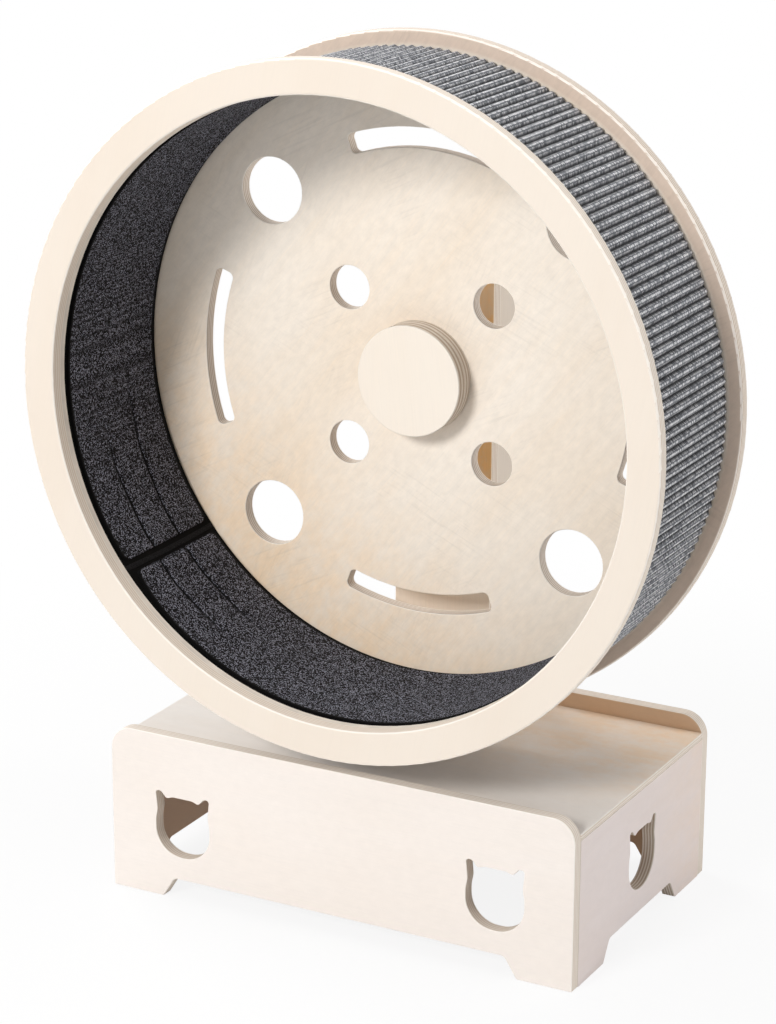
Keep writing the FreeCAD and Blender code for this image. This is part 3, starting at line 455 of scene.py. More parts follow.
@dataclass(frozen=True)
class Plywood:
    """Clear-coated plywood, with veneer faces, layered edges and rounded corners lightened by a
    painted highlight, partly paler sanded wood.
    """

    name: str
    lie: Lie
    start: float
    thickness: float = 18 * MM
    plies: int = 9
    grain_degrees: float = 0.0
    low_face: Veneer = Veneer.BIRCH
    high_face: Veneer = Veneer.BIRCH
    pale_edge: Colour = rgb(247, 239, 228)
    dark_edge: Colour = rgb(193, 166, 140)
    figure_share: float = 0.4
    brushing: float = 0.1
    scratches: float = 0.0
    mottle: float = 0.0
    heartwood: HeartwoodAndShade | None = None
    painted_shade_band: PaintedShadeBand | None = None
    roughness: float = 0.46

    EDGE_FACING = (0.3, 0.6)
    CORNER_FACING = ((0.15, 0.4), (0.8, 0.97))
    # Painted highlight, partly paler sanded wood: the share and tint that lighten the rounded
    # corners.
    ARRIS_HIGHLIGHT_SHARE = 0.7
    ARRIS_HIGHLIGHT_TINT = rgb(250, 244, 236)
    BROAD = Streaks(2.2, 5)
    WANDER = Streaks(2.2, 9, 4.0, 2.0)
    FIBRE = Streaks(16, 430, 2.0, 3.0, 0.6)
    SPOTS = Streaks(60, 90, 7.0, 3.0, 0.65)
    FLAMES = 130
    FLAME_WANDER = 26
    SCRATCH_TURNS = ((-0.3, 5.0), (0.45, 8.0), (1.35, 11.0))
    EDGE_FIBRES = 700.0

    @classmethod
    def of(cls, node: str, lie: Lie, name: str = "", **looks: object) -> Plywood:
        """Describe the plywood of a CAD node.

        Args:
            node: The node's name.
            lie: How its sheet lies.
            name: The material's name, where it isn't the node's.
            looks: Other fields.

        Returns:
            The finish, with its layers counted from the node's low side.
        """
        return cls(name or node + "_ply", lie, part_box(node)[0].dot(lie.normal), **looks)

    def material(self) -> bpy.types.Material:
        """Build the material: faces and edges are told apart by the surface's direction.

        Returns:
            The finished material.
        """
        shader = Shader.named(self.name)
        place, normal = shader.coordinates()
        depth = shader.dot(place, self.lie.normal) - self.start
        facing = abs(shader.dot(normal, self.lie.normal))
        on_edge = 1 - facing.rise(*self.EDGE_FACING)
        inner, outer = self.CORNER_FACING
        # Painted highlight on the rounded corners, partly paler sanded wood.
        arris_highlight = facing.rise(*inner) * (1 - facing.rise(*outer))
        face, relief = self._face(shader, place, depth)
        edge, layers = self._layers(shader, place, depth)
        colour = shader.mix(on_edge, face, edge)
        colour = shader.mix(arris_highlight * self.ARRIS_HIGHLIGHT_SHARE, colour, self.ARRIS_HIGHLIGHT_TINT)
        height = relief * (1 - on_edge) + layers * on_edge
        return shader.surface({
            "Base Color": colour,
            "Roughness": relief * 0.12 + on_edge * 0.15 + (self.roughness - 0.06),
            "Normal": shader.bump(height, 0.35, 0.2 * MM),
            "Specular IOR Level": 0.4,
        })

    def _face(self, shader: Shader, place: Signal, depth: Signal) -> tuple[Signal, Signal]:
        """Give the colour and relief of the face veneers.

        Args:
            shader: The material's shader.
            place: The object's own coordinates.
            depth: Metres from the sheet's low side.

        Returns:
            The colour and the relief.
        """
        grain = self.lie.grain(self.grain_degrees)
        along = shader.dot(place, grain)
        across = shader.dot(place, self.lie.normal.cross(grain))
        figure, relief = self._figure(shader, along, across)
        face = shader.mix(figure, *self.low_face.value)
        on_high = (depth - self.thickness / 2).rise(0.0, 0.1 * MM)
        if self.high_face is not self.low_face:
            face = shader.mix(on_high, face, shader.mix(figure, *self.high_face.value))
        # Warmer zone: heartwood on the base boards, painted shade on the disc and on the column's
        # front plate.
        if self.heartwood:
            warmth = self.heartwood.share(shader, along, across, figure)
            face = shader.mix(warmth, face, self.heartwood.tint)
        # Painted shade on the band outside the carpet, which the ring shades.
        if self.painted_shade_band:
            rim_shade = self.painted_shade_band.share(shader, place) * (1 - on_high)
            face = shader.mix(rim_shade * self.painted_shade_band.STRENGTH, face, self.painted_shade_band.tint)
        tone = relief * (2 * self.brushing) + (1 - self.brushing)
        if self.mottle:
            spots = self.SPOTS.over(shader, along, across)
            tone = tone + (spots - 0.5) * (2 * self.mottle)
        return shader.shade(face, tone), relief

    def _figure(self, shader: Shader, along: Signal, across: Signal) -> tuple[Signal, Signal]:
        """Draw the veneer's figure, its fibres and what scratches it has.

        Args:
            shader: The material's shader.
            along: Metres along the grain.
            across: Metres across it.

        Returns:
            The share of the figure's colour, and the relief.
        """
        broad = self.BROAD.over(shader, along, across)
        wander = self.WANDER.over(shader, along, across)
        flame = ((across * self.FLAMES + wander * self.FLAME_WANDER).sine() * 0.5 + 0.5) ** 2.0
        fibre = self.FIBRE.over(shader, along, across)
        share = broad.rise(0.38, 0.72) * 0.7 + flame * 0.1 + fibre.rise(0.45, 0.75) * 0.25
        relief = fibre
        for turn, seed in self.SCRATCH_TURNS if self.scratches else ():
            line = along * math.cos(turn) + across * math.sin(turn)
            side = across * math.cos(turn) - along * math.sin(turn)
            marks = Streaks(12, 240, seed, 1.0).over(shader, line, side)
            zone = Streaks(6, 6, seed + 1.0, 1.0).over(shader, along, across)
            relief = relief - marks.rise(0.5, 0.75) * zone.rise(0.5, 0.7) * self.scratches
        return share * self.figure_share, relief

    def _layers(self, shader: Shader, place: Signal, depth: Signal) -> tuple[Signal, Signal]:
        """Draw the layered edge.

        Args:
            shader: The material's shader.
            place: The object's own coordinates.
            depth: Metres from the sheet's low side.

        Returns:
            The colour and the relief.
        """
        waver = shader.noise(place, 30.0)
        level = depth / (self.thickness / self.plies) + (waver - 0.5) * 0.25
        cross_ply = (1.0 - abs((level % 2.0) - 1.5)).rise(0.5, 0.7)
        seam = abs((level + 0.5) % 1.0 - 0.5).rise(0.04, 0.16)
        fibres = shader.noise(place, self.EDGE_FIBRES)
        colour = shader.mix(cross_ply * 0.75 + fibres * 0.2, self.pale_edge, self.dark_edge)
        return shader.shade(colour, seam * 0.2 + 0.8), fibres * (cross_ply * 0.7 + 0.3)


@dataclass(frozen=True)
class SawnWood:
    """Bare sawn softwood of the hidden battens, blocks and braces."""

    name: str
    grain: Vector
    pale: Colour = rgb(222, 190, 146)
    dark: Colour = rgb(186, 140, 92)
    rings: float = 900
    fibres: float = 900

    def material(self) -> bpy.types.Material:
        """Build the material: growth rings stretched along the grain.

        Returns:
            The finished material.
        """
        shader = Shader.named(self.name)
        place, _ = shader.coordinates()
        level = self.grain.orthogonal().normalized()
        along = shader.dot(place, self.grain)
        side = shader.dot(place, level)
        rise = shader.dot(place, self.grain.cross(level))
        warp = shader.noise(shader.vector(along * 3, side * 14, rise * 14), 1.0)
        rings = ((side * self.rings + rise * (self.rings / 3) + warp * 18).sine() * 0.5 + 0.5) ** 2
        fine = shader.vector(along * 30, side * self.fibres, rise * self.fibres)
        fibre = shader.noise(fine, 1.0, 3.0)
        return shader.surface({
            "Base Color": shader.mix(rings * 0.6 + fibre * 0.3, self.pale, self.dark),
            "Roughness": fibre * 0.15 + 0.68,
            "Normal": shader.bump(fibre, 0.5, 0.3 * MM),
        })


@dataclass(frozen=True)
class Crease:
    """A groove that runs along the mat from its cross seam, wanders a little and fades out.

    Its line and its drift over its length are measured across the mat from the middle line.
    """

    from_end: bool
    line: float
    length: float
    drift: float
    depth: float = 2.2 * MM
    half_width: float = 3.0 * MM
    black_half: float = 1.2 * MM
    wander: float = 0.9 * MM

    @property
    def wave(self) -> float:
        """Wave number of its wandering, radians in a metre."""
        return 55.0 + 300.0 * abs(self.line)

    @property
    def phase(self) -> float:
        """Phase of its wandering in radians."""
        return 90.0 * self.line

    def painted_shade_share(self, travel: Signal, across: Signal) -> Signal:
        """Give 1 in the groove and 0 beside it.

        Args:
            travel: Metres from the seam.
            across: Metres from the mat's middle line.

        Returns:
            The share of painted shade.
        """
        wobble = (travel * self.wave + self.phase).sine() * self.wander
        line = travel * (self.drift / self.length) + self.line + wobble
        near = 1.0 - abs(across - line).rise(self.black_half, self.half_width)
        return near * (1.0 - travel.rise(self.length * 0.4, self.length))

    def sink(self, travel: float, across: float) -> float:
        """Give how deep the groove is at a place.

        Args:
            travel: Metres from the seam.
            across: Metres from the mat's middle line.

        Returns:
            The depth in metres.
        """
        if travel > self.length:
            return 0.0
        line = (self.line + self.drift * travel / self.length
                + self.wander * math.sin(travel * self.wave + self.phase))
        off = (across - line) / self.half_width
        return self.depth * (1 - (travel / self.length) ** 2) * math.exp(-off ** 2)


@dataclass(frozen=True)
class CarpetPile:
    """Speckled charcoal pile of the running mat; its map is metres along and across the strip."""

    name: str
    strip_length: float
    pressed_from: float
    creases: tuple[Crease, ...]
    dark: Colour = rgb(15, 14, 15)
    middle: Colour = rgb(37, 36, 39)
    light: Colour = rgb(176, 178, 194)
    # Painted shade in the creases.
    crease_shade: Colour = rgb(7, 7, 7)
    at_edges: Colour = rgb(9, 8, 8)
    tufts: float = 690.0
    fuzz: float = 900.0

    def material(self) -> bpy.types.Material:
        """Build the material: light tufts in a dark ground, and painted shade as black lines in the
        creases.

        Returns:
            The finished material.
        """
        shader = Shader.named(self.name)
        place, _ = shader.coordinates()
        cell = shader.node("TexVoronoi", None, {"Vector": place, "Scale": self.tufts})
        tint, distance = shader.outputs(cell, "Color", "Distance")
        tone = shader.split(tint)[0]
        body = 1.0 - distance
        fuzz = shader.noise(place, self.fuzz)
        share = tone * body.rise(0.1, 0.6) + fuzz * 0.3 - 0.14
        colour = shader.ramp(share, (0.15, self.dark), (0.45, self.middle), (0.92, self.light))
        along, across, _ = shader.split(shader.signal("UVMap"))
        groove = 0.0
        for crease in self.creases:
            travel = self.strip_length - along if crease.from_end else along
            groove = crease.painted_shade_share(travel, across) + groove
        # Painted shade: black lines in the creases' grooves.
        colour = shader.mix(groove, colour, self.crease_shade)
        back_edge = across.rise(self.pressed_from, self.pressed_from + 2 * MM)
        front_edge = (-1 * across).rise(self.pressed_from + 2 * MM, self.pressed_from + 5 * MM)
        return shader.surface({
            "Base Color": shader.mix(back_edge + front_edge, colour, self.at_edges),
            "Roughness": 0.95,
            "Specular IOR Level": 0.06,
            "Sheen Weight": 0.03,
            "Normal": shader.bump(tone * body + fuzz * 0.4 - groove, 0.9, 1.2 * MM),
        })


@dataclass(frozen=True)
class FoamBacking:
    """Black foam or tape with fine open cells, under the mat."""

    name: str
    tint: Colour = rgb(11, 10, 10)
    in_cells: Colour = rgb(6, 5, 5)
    cells: float = 900.0

    def material(self) -> bpy.types.Material:
        """Build the material.

        Returns:
            The finished material.
        """
        shader = Shader.named(self.name)
        cells = shader.noise(shader.coordinates()[0], self.cells)
        return shader.surface({
            "Base Color": shader.mix(cells.rise(0.35, 0.7), self.in_cells, self.tint),
            "Roughness": 0.9,
            "Specular IOR Level": 0.1,
            "Normal": shader.bump(cells, 0.5, 0.4 * MM),
        })


@dataclass(frozen=True)
class LoopYarn:
    """Grey looped yarn of the ribbed carpet; its map counts ribs in U and loops in V."""

    name: str
    loops_across: float
    rows: float = 3.0
    dark: Colour = rgb(35, 35, 38)
    middle: Colour = rgb(145, 148, 155)
    light: Colour = rgb(250, 249, 250)
    # Painted shade in the valleys between the ribs and where the ribs end at the disc.
    valley_shade: Colour = rgb(22, 22, 25)
    end_shade: Colour = rgb(18, 18, 20)
    fibres: float = 900.0
    leaning: float = 140.0

    def material(self) -> bpy.types.Material:
        """Build the material: every loop has its own grey; painted shade darkens the gaps between
        the loops, the valleys between the ribs and the ribs' ends, and a painted highlight lightens
        the crests.

        Returns:
            The finished material.
        """
        shader = Shader.named(self.name)
        place, _ = shader.coordinates()
        across, along, _ = shader.split(shader.signal("UVMap"))
        row = (across * self.rows).floor()
        lean = shader.noise(place, self.leaning, 1.0)
        shifted = along + row * 0.5 + lean * 1.6
        tint = shader.signal("TexWhiteNoise", {"noise_dimensions": "2D"},
                             {"Vector": shader.vector(row, shifted.floor())})
        off_row = (across * self.rows) % 1.0 - 0.5
        off_loop = shifted % 1.0 - 0.5
        dome = 1.0 - ((off_row * off_row + off_loop * off_loop) ** 0.5).rise(0.12, 0.62)
        crest = abs((across * math.pi).sine())
        fibre = shader.noise(place, self.fibres, 3.0, 0.7)
        # The crest term is a painted highlight on the rib tops; low shares between the loops become
        # painted shade.
        share = dome * (tint * 1.05 + 0.2) * 0.8 + fibre * 0.5 + crest * 0.2 - 0.26
        colour = shader.ramp(share, (0.08, self.dark), (0.36, self.middle), (0.76, self.light))
        # Painted shade in the valleys between the ribs.
        colour = shader.mix((1.0 - crest.rise(0.28, 0.9)) * 0.8, colour, self.valley_shade)
        # Painted shade where the ribs end at the disc.
        end = (along + lean).rise(self.loops_across - 1.8, self.loops_across - 0.2)
        return shader.surface({
            "Base Color": shader.mix(end * 0.85, colour, self.end_shade),
            "Roughness": 0.92,
            "Specular IOR Level": 0.2,
            "Sheen Weight": 0.2,
            "Normal": shader.bump(dome * 0.8 + fibre * 0.4, 0.8, 1.3 * MM),
        })


@dataclass(frozen=True)
class Metal:
    """A turned, plated or polished metal."""

    name: str
    tint: Colour
    roughness: float
    mottle: float = 0.08
    turned: bool = False
    blotches: float = 160.0
    grit: float = 2400.0
    turning: float = 9000.0

    def material(self) -> bpy.types.Material:
        """Build the material: soft blotches, and fine rings where it was turned.

        Returns:
            The finished material.
        """
        shader = Shader.named(self.name)
        place, _ = shader.coordinates()
        blotch = shader.noise(place, self.blotches, 3.0)
        height = shader.noise(place, self.grit)
        if self.turned:
            _, depth, _ = shader.split(place)
            height = height * 0.4 + (depth * self.turning).sine() * 0.3
        tone = blotch * (2 * self.mottle) + (1 - self.mottle)
        return shader.surface({
            "Base Color": shader.shade(self.tint, tone),
            "Metallic": 1.0,
            "Roughness": blotch * 0.16 + (self.roughness - 0.08),
            "Normal": shader.bump(height, 0.2, 0.05 * MM),
        })


def metal_finishes() -> Metals:
    """Build the metals.

    Returns:
        Their materials by the record's slots.
    """
    metals = {
        "bare_steel": Metal("bare_steel_turned", rgb(178, 178, 180), 0.32, turned=True),
        "zinc_steel": Metal("zinc_plate", rgb(196, 199, 202), 0.36, 0.12),
        "aluminium": Metal("aluminium_turned", rgb(214, 215, 217), 0.34, turned=True),
        "bearing_steel": Metal("bearing_steel_polished", rgb(205, 206, 208), 0.16, 0.04),
        "cage_brass": Metal("cage_brass_satin", rgb(214, 176, 102), 0.34),
    }
    return {slot: metal.material() for slot, metal in metals.items()}


# ---- mesh tools ----------------------------------------------------------------------------------
class Body(Enum):
    """The CAD bodies that the new pieces ride on."""

    STAND = "stand"
    WHEEL = "wheel"


def as_piece(name: str, mesh: bmesh.types.BMesh, material: bpy.types.Material, body: Body,
             crease_degrees: float = 38.0, stands_for: str = "") -> bpy.types.Object:
    """Make a piece of the object from a bmesh.

    Args:
        name: The piece's name.
        mesh: Its shape, in place; it is freed here.
        material: Its finish.
        body: What it moves with.
        crease_degrees: Edges bent more than this stay sharp.
        stands_for: The CAD node that it replaces, if any.

    Returns:
        The piece.
    """
    bmesh.ops.remove_doubles(mesh, verts=mesh.verts, dist=MERGE)
    bmesh.ops.recalc_face_normals(mesh, faces=mesh.faces)
    data = bpy.data.meshes.new(name)
    mesh.to_mesh(data)
    mesh.free()
    data.shade_smooth()
    data.set_sharp_from_angle(angle=math.radians(crease_degrees))
    data.materials.append(material)
    piece = bpy.data.objects.new(name, data)
    bpy.context.scene.collection.objects.link(piece)
    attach(piece, body.value)
    if stands_for:
        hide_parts(stands_for)
    return piece


def lathe(mesh: bmesh.types.BMesh, profile: Profile, centre: Vector, steps: int,
          closed: bool = True) -> list[bmesh.types.BMVert]:
    """Turn a profile round a line along Y.

    Args:
        mesh: Where the shape is added.
        profile: Points of (radius, y from the centre).
        centre: A point on the line.
        steps: Facets in a full turn.
        closed: Whether the profile's last point joins its first.

    Returns:
        The new vertices.
    """
    before = set(mesh.verts)
    verts = [mesh.verts.new(centre + Vector((radius, y, 0))) for radius, y in profile]
    edges = [mesh.edges.new(pair) for pair in zip(verts, verts[1:])]
    if closed:
        edges.append(mesh.edges.new((verts[-1], verts[0])))
    bmesh.ops.spin(mesh, geom=verts + edges, cent=centre, axis=(0, 1, 0), angle=FULL_TURN,
                   steps=steps, use_merge=True)
    made = [vert for vert in mesh.verts if vert not in before]
    bmesh.ops.remove_doubles(mesh, verts=made, dist=MERGE)
    return [vert for vert in mesh.verts if vert not in before]


def sanded(node: str, finish: Plywood, body: Body,
           rounding: float = 1.2 * MM) -> bpy.types.Object:
    """Stand a copy of a wooden node in for it, with its sharp corners rounded by sanding.

    Args:
        node: The CAD node's name.
        finish: Its plywood.
        body: What it moves with.
        rounding: How far the corners are taken back.

    Returns:
        The piece.
    """
    mesh = bmesh.new()
    mesh.from_mesh(bpy.data.objects[node].data)
    bmesh.ops.remove_doubles(mesh, verts=mesh.verts, dist=0.005 * MM)
    bmesh.ops.dissolve_limit(mesh, angle_limit=math.radians(0.1), verts=mesh.verts,
                             edges=mesh.edges)
    piece = as_piece(node + "_sanded", mesh, finish.material(), body, 180.0, node)
    bevel = piece.modifiers.new("sanded_corners", "BEVEL")
    bevel.width = rounding
    bevel.segments = 2
    bevel.limit_method = "ANGLE"
    bevel.angle_limit = math.radians(40)
    piece.modifiers.new("flat_faces", "WEIGHTED_NORMAL").mode = "FACE_AREA"
    return piece


def paint(material: bpy.types.Material, *nodes: str) -> None:
    """Give CAD nodes their finish.

    Args:
        material: The finish.
        nodes: The nodes' names.
    """
    for node in nodes:
        for slot in bpy.data.objects[node].material_slots:
            slot.material = material


@dataclass(frozen=True)
class RoundSpace:
    """The room of a round CAD node about a line along Y."""

    centre: Vector
    radius: float
    front: float
    back: float

    @classmethod
    def of(cls, node: str) -> RoundSpace:
        """Measure a node.

        Args:
            node: The CAD node's name.

        Returns:
            Its round room.
        """
        low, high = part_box(node)
        middle = (low + high) / 2
        centre = Vector((middle.x, 0, middle.z))
        return cls(centre, (high.z - low.z) / 2, low.y, high.y)

    @property
    def width(self) -> float:
        """Width along Y."""
        return self.back - self.front

    def at(self, radius: float, angle: float, y: float) -> Vector:
        """Give the point at a radius and an angle about the line, at its own y."""
        return self.centre + Vector((radius * math.cos(angle), y, radius * math.sin(angle)))


# ---- running mat ---------------------------------------------------------------------------------
@dataclass
class RunningMat:
    """The carpet inside the drum: a pile strip with one cross seam on a black foam sheet."""

    thickness: float = 8 * MM
    seam_degrees: float = 218.5
    seam_gap: float = 18 * MM
    seam_bow: float = 3.5 * MM
    bow_length: float = 0.03
    front_margin: float = 8.5 * MM
    back_margin: float = 6.5 * MM
    foam_depth: float = 3.6 * MM
    foam_edge: float = 0.8 * MM
    foam_steps: int = 240
    tape_share: float = 0.38
    tape_overhang: float = 8 * MM
    tape_thickness: float = 2.4 * MM
    tape_edge: float = 0.9 * MM
    tape_steps: int = 24
    edge_round: float = 1.8 * MM
    end_round: float = 2.88 * MM
    pressed_edge: float = 8 * MM
    pressed_depth: float = 2 * MM
    corner: float = 11 * MM
    tuck: float = 9 * MM
    tuck_length: float = 0.11
    unevenness: float = 0.08 * MM
    lumps: tuple[float, float] = (22, 30)
    steps_round: int = 640
    steps_across: int = 120
    crowded_zone: float = 40 * MM
    crowding: float = 1.9
    creases: tuple[Crease, ...] = (
        Crease(False, 26 * MM, 0.20, -4 * MM),
        Crease(False, -42 * MM, 0.17, 5 * MM),
        Crease(True, 30 * MM, 0.27, 4 * MM),
        Crease(True, -32 * MM, 0.21, -5 * MM),
    )

    def __post_init__(self) -> None:
        """Take the room from the CAD mat."""
        self.room = RoundSpace.of("running_mat")
        self.inner = self.room.radius - self.thickness
        self.length = FULL_TURN * self.inner - self.seam_gap
        low = self.room.front + self.front_margin
        high = self.room.back - self.back_margin
        self.middle = (low + high) / 2
        self.half_width = (high - low) / 2

    def build(self) -> list[bpy.types.Object]:
        """Build the pile, the foam and the tape under the seam.

        Returns:
            The three pieces.
        """
        pressed_from = self.half_width - self.pressed_edge
        finish = CarpetPile("mat_pile", self.length, pressed_from, self.creases).material()
        pile = as_piece("running_mat_pile", self._pile(), finish, Body.WHEEL, 60.0,
                        "running_mat")
        black = FoamBacking("mat_foam").material()
        foam = as_piece("running_mat_foam", self._foam(), black, Body.WHEEL)
        # Painted highlight: the tape is the foam's finish made lighter, for the light that its
        # raised strip catches.
        tape_with_highlight = FoamBacking("mat_tape", rgb(44, 43, 45)).material()
        tape = as_piece("running_mat_tape", self._tape(), tape_with_highlight, Body.WHEEL)
        FULL_TURN * self.room.radius
        return [pile, foam, tape]

    def _foam(self) -> bmesh.types.BMesh:
        """Lathe the foam sheet.

        Returns:
            Its shape.
        """
        mesh = bmesh.new()
        top = self.inner + self.foam_depth
        outer = self.room.radius - 0.1 * MM
        soft, front, back = self.foam_edge, self.room.front, self.room.back
        profile = [(outer, front), (top + soft, front), (top, front + soft), (top, back - soft),
                   (top + soft, back), (outer, back)]
        lathe(mesh, profile, self.room.centre, self.foam_steps)
        return mesh

    def _tape(self) -> bmesh.types.BMesh:
        """Bend the rounded tape that closes the seam.

        Returns:
            Its shape.
        """
        mesh = bmesh.new()
        bmesh.ops.create_cube(mesh, size=1)
        size = Vector((self.seam_gap * self.tape_share, 2 * self.half_width + self.tape_overhang,
                       self.tape_thickness))
        bmesh.ops.scale(mesh, vec=size, verts=mesh.verts)
        bmesh.ops.bevel(mesh, geom=mesh.edges[:], offset=self.tape_edge, segments=3, profile=0.5,
                        affect="EDGES", material=-1)
        long_edges = [edge for edge in mesh.edges if edge.calc_length() > self.half_width]
        bmesh.ops.subdivide_edges(mesh, edges=long_edges, cuts=self.tape_steps,
                                  use_grid_fill=True)
        top = self.inner + self.foam_depth
        for vert in mesh.verts:
            arc = vert.co.x + self._bow(min(1.0, abs(vert.co.y) / self.half_width)) / 2
            angle = math.radians(self.seam_degrees) + arc / top
            vert.co = self.room.at(top - vert.co.z, angle, self.middle + vert.co.y)
        return mesh

    def _bow(self, across: float) -> float:
        """Give how far the seam bows out at a share of the half width."""
        return self.seam_bow * (1 - across ** 2)

    def _pile(self) -> bmesh.types.BMesh:
        """Draw the strip's cross-section out flat, then bend it round the drum.

        Returns:
            The strip's shape, with its map of metres along and across it.
        """
        mesh = bmesh.new()
        wide, soft = self.half_width, self.edge_round
        bottom = self.foam_depth + 0.2 * MM
        chamfer = soft * (1 - math.sqrt(0.5))
        section = [(wide, bottom), (wide, soft), (wide - chamfer, chamfer), (wide - soft, 0),
                   (soft - wide, 0), (chamfer - wide, chamfer), (-wide, soft), (-wide, bottom)]
        verts = [mesh.verts.new((0, y, depth)) for y, depth in section]
        edges = [mesh.edges.new(pair) for pair in zip(verts, verts[1:] + verts[:1])]
        running_face = edges[3]
        bmesh.ops.subdivide_edges(mesh, edges=[running_face], cuts=self.steps_across)
        drawn = bmesh.ops.extrude_edge_only(mesh, edges=mesh.edges[:])
        far = [item for item in drawn["geom"] if isinstance(item, bmesh.types.BMVert)]
        bmesh.ops.translate(mesh, vec=(self.length, 0, 0), verts=far)
        long_edges = [edge for edge in mesh.edges if edge.calc_length() > self.length / 2]
        bmesh.ops.subdivide_edges(mesh, edges=long_edges, cuts=self.steps_round - 1)
        rims = [edge for edge in mesh.edges if edge.is_boundary]
        bmesh.ops.holes_fill(mesh, edges=rims, sides=0)
        chart = mesh.verts.layers.float_vector.new("flat")
        for vert in mesh.verts:
            self._shape(vert, chart)
        surface = mesh.loops.layers.uv.new("strip")
        for face in mesh.faces:
            for corner in face.loops:
                corner[surface].uv = corner.vert[chart].xy
        mesh.verts.layers.float_vector.remove(chart)
        return mesh

    def _shape(self, vert: bmesh.types.BMVert, chart: bmesh.types.BMLayerItem) -> None:
        """Move one point of the flat strip to its own place in the drum.

        Args:
            vert: The point, with x along the strip, y across it and z down from its face.
            chart: Layer that keeps its place along and across the strip.
        """
        travel, y, depth = vert.co
        travel = self._gathered(travel)
        vert[chart] = Vector((travel, y, 0))
        nearest = min(travel, self.length - travel)
        share = max(0.0, 1 - depth / self.foam_depth)
        across = y / self.half_width
        depth += share * self.edge_round * self._fall(nearest, self.end_round)
        depth += share * self._sink(travel, y)
        press = max(0.0, 1 - (self.half_width - y) / self.pressed_edge)
        depth += share * self.pressed_depth * press ** 2
        inset = self.corner * self._fall(nearest, self.corner)
        y *= 1 - inset / self.half_width * abs(across)
        if across < 0:
            y -= across * self.tuck * max(0.0, 1 - travel / self.tuck_length) ** 2
        bow = self._bow(across) * max(0.0, 1 - travel / self.bow_length)
        arc = self.seam_gap / 2 + travel + bow
        angle = math.radians(self.seam_degrees) + arc / self.inner
        vert.co = self.room.at(self.inner + depth, angle, self.middle + y)

    @staticmethod
    def _fall(distance: float, radius: float) -> float:
        """Give how far a rounding of a radius has fallen, 1 at its end and 0 past the radius.

        Args:
            distance: Metres from the end that is rounded.
            radius: The rounding's radius.

        Returns:
            The share of the radius.
        """
        reach = max(0.0, 1 - distance / radius)
        return 1 - math.sqrt(max(0.0, 1 - reach ** 2))

    def _gathered(self, travel: float) -> float:
        """Crowd the steps near the two ends of the strip.

        Args:
            travel: Metres along the strip in even steps.

        Returns:
            Metres along the strip in crowded steps.
        """
        nearest = max(0.0, min(travel, self.length - travel))
        if nearest >= self.crowded_zone:
            return travel
        closer = self.crowded_zone * (nearest / self.crowded_zone) ** self.crowding
        return closer if travel < self.length / 2 else self.length - closer

    def _sink(self, travel: float, y: float) -> float:
        """Give how far creases and unevenness press the pile's face outwards.

        Args:
            travel: Metres along the strip.
            y: Metres across it from its middle.

        Returns:
            The depth in metres.
        """
        along, across = self.lumps
        lump = noise.noise(Vector((travel * along, y * across, 1.5)))
        sink = self.unevenness * (lump + 0.6)
        for crease in self.creases:
            sink += crease.sink(self.length - travel if crease.from_end else travel, y)
        return sink


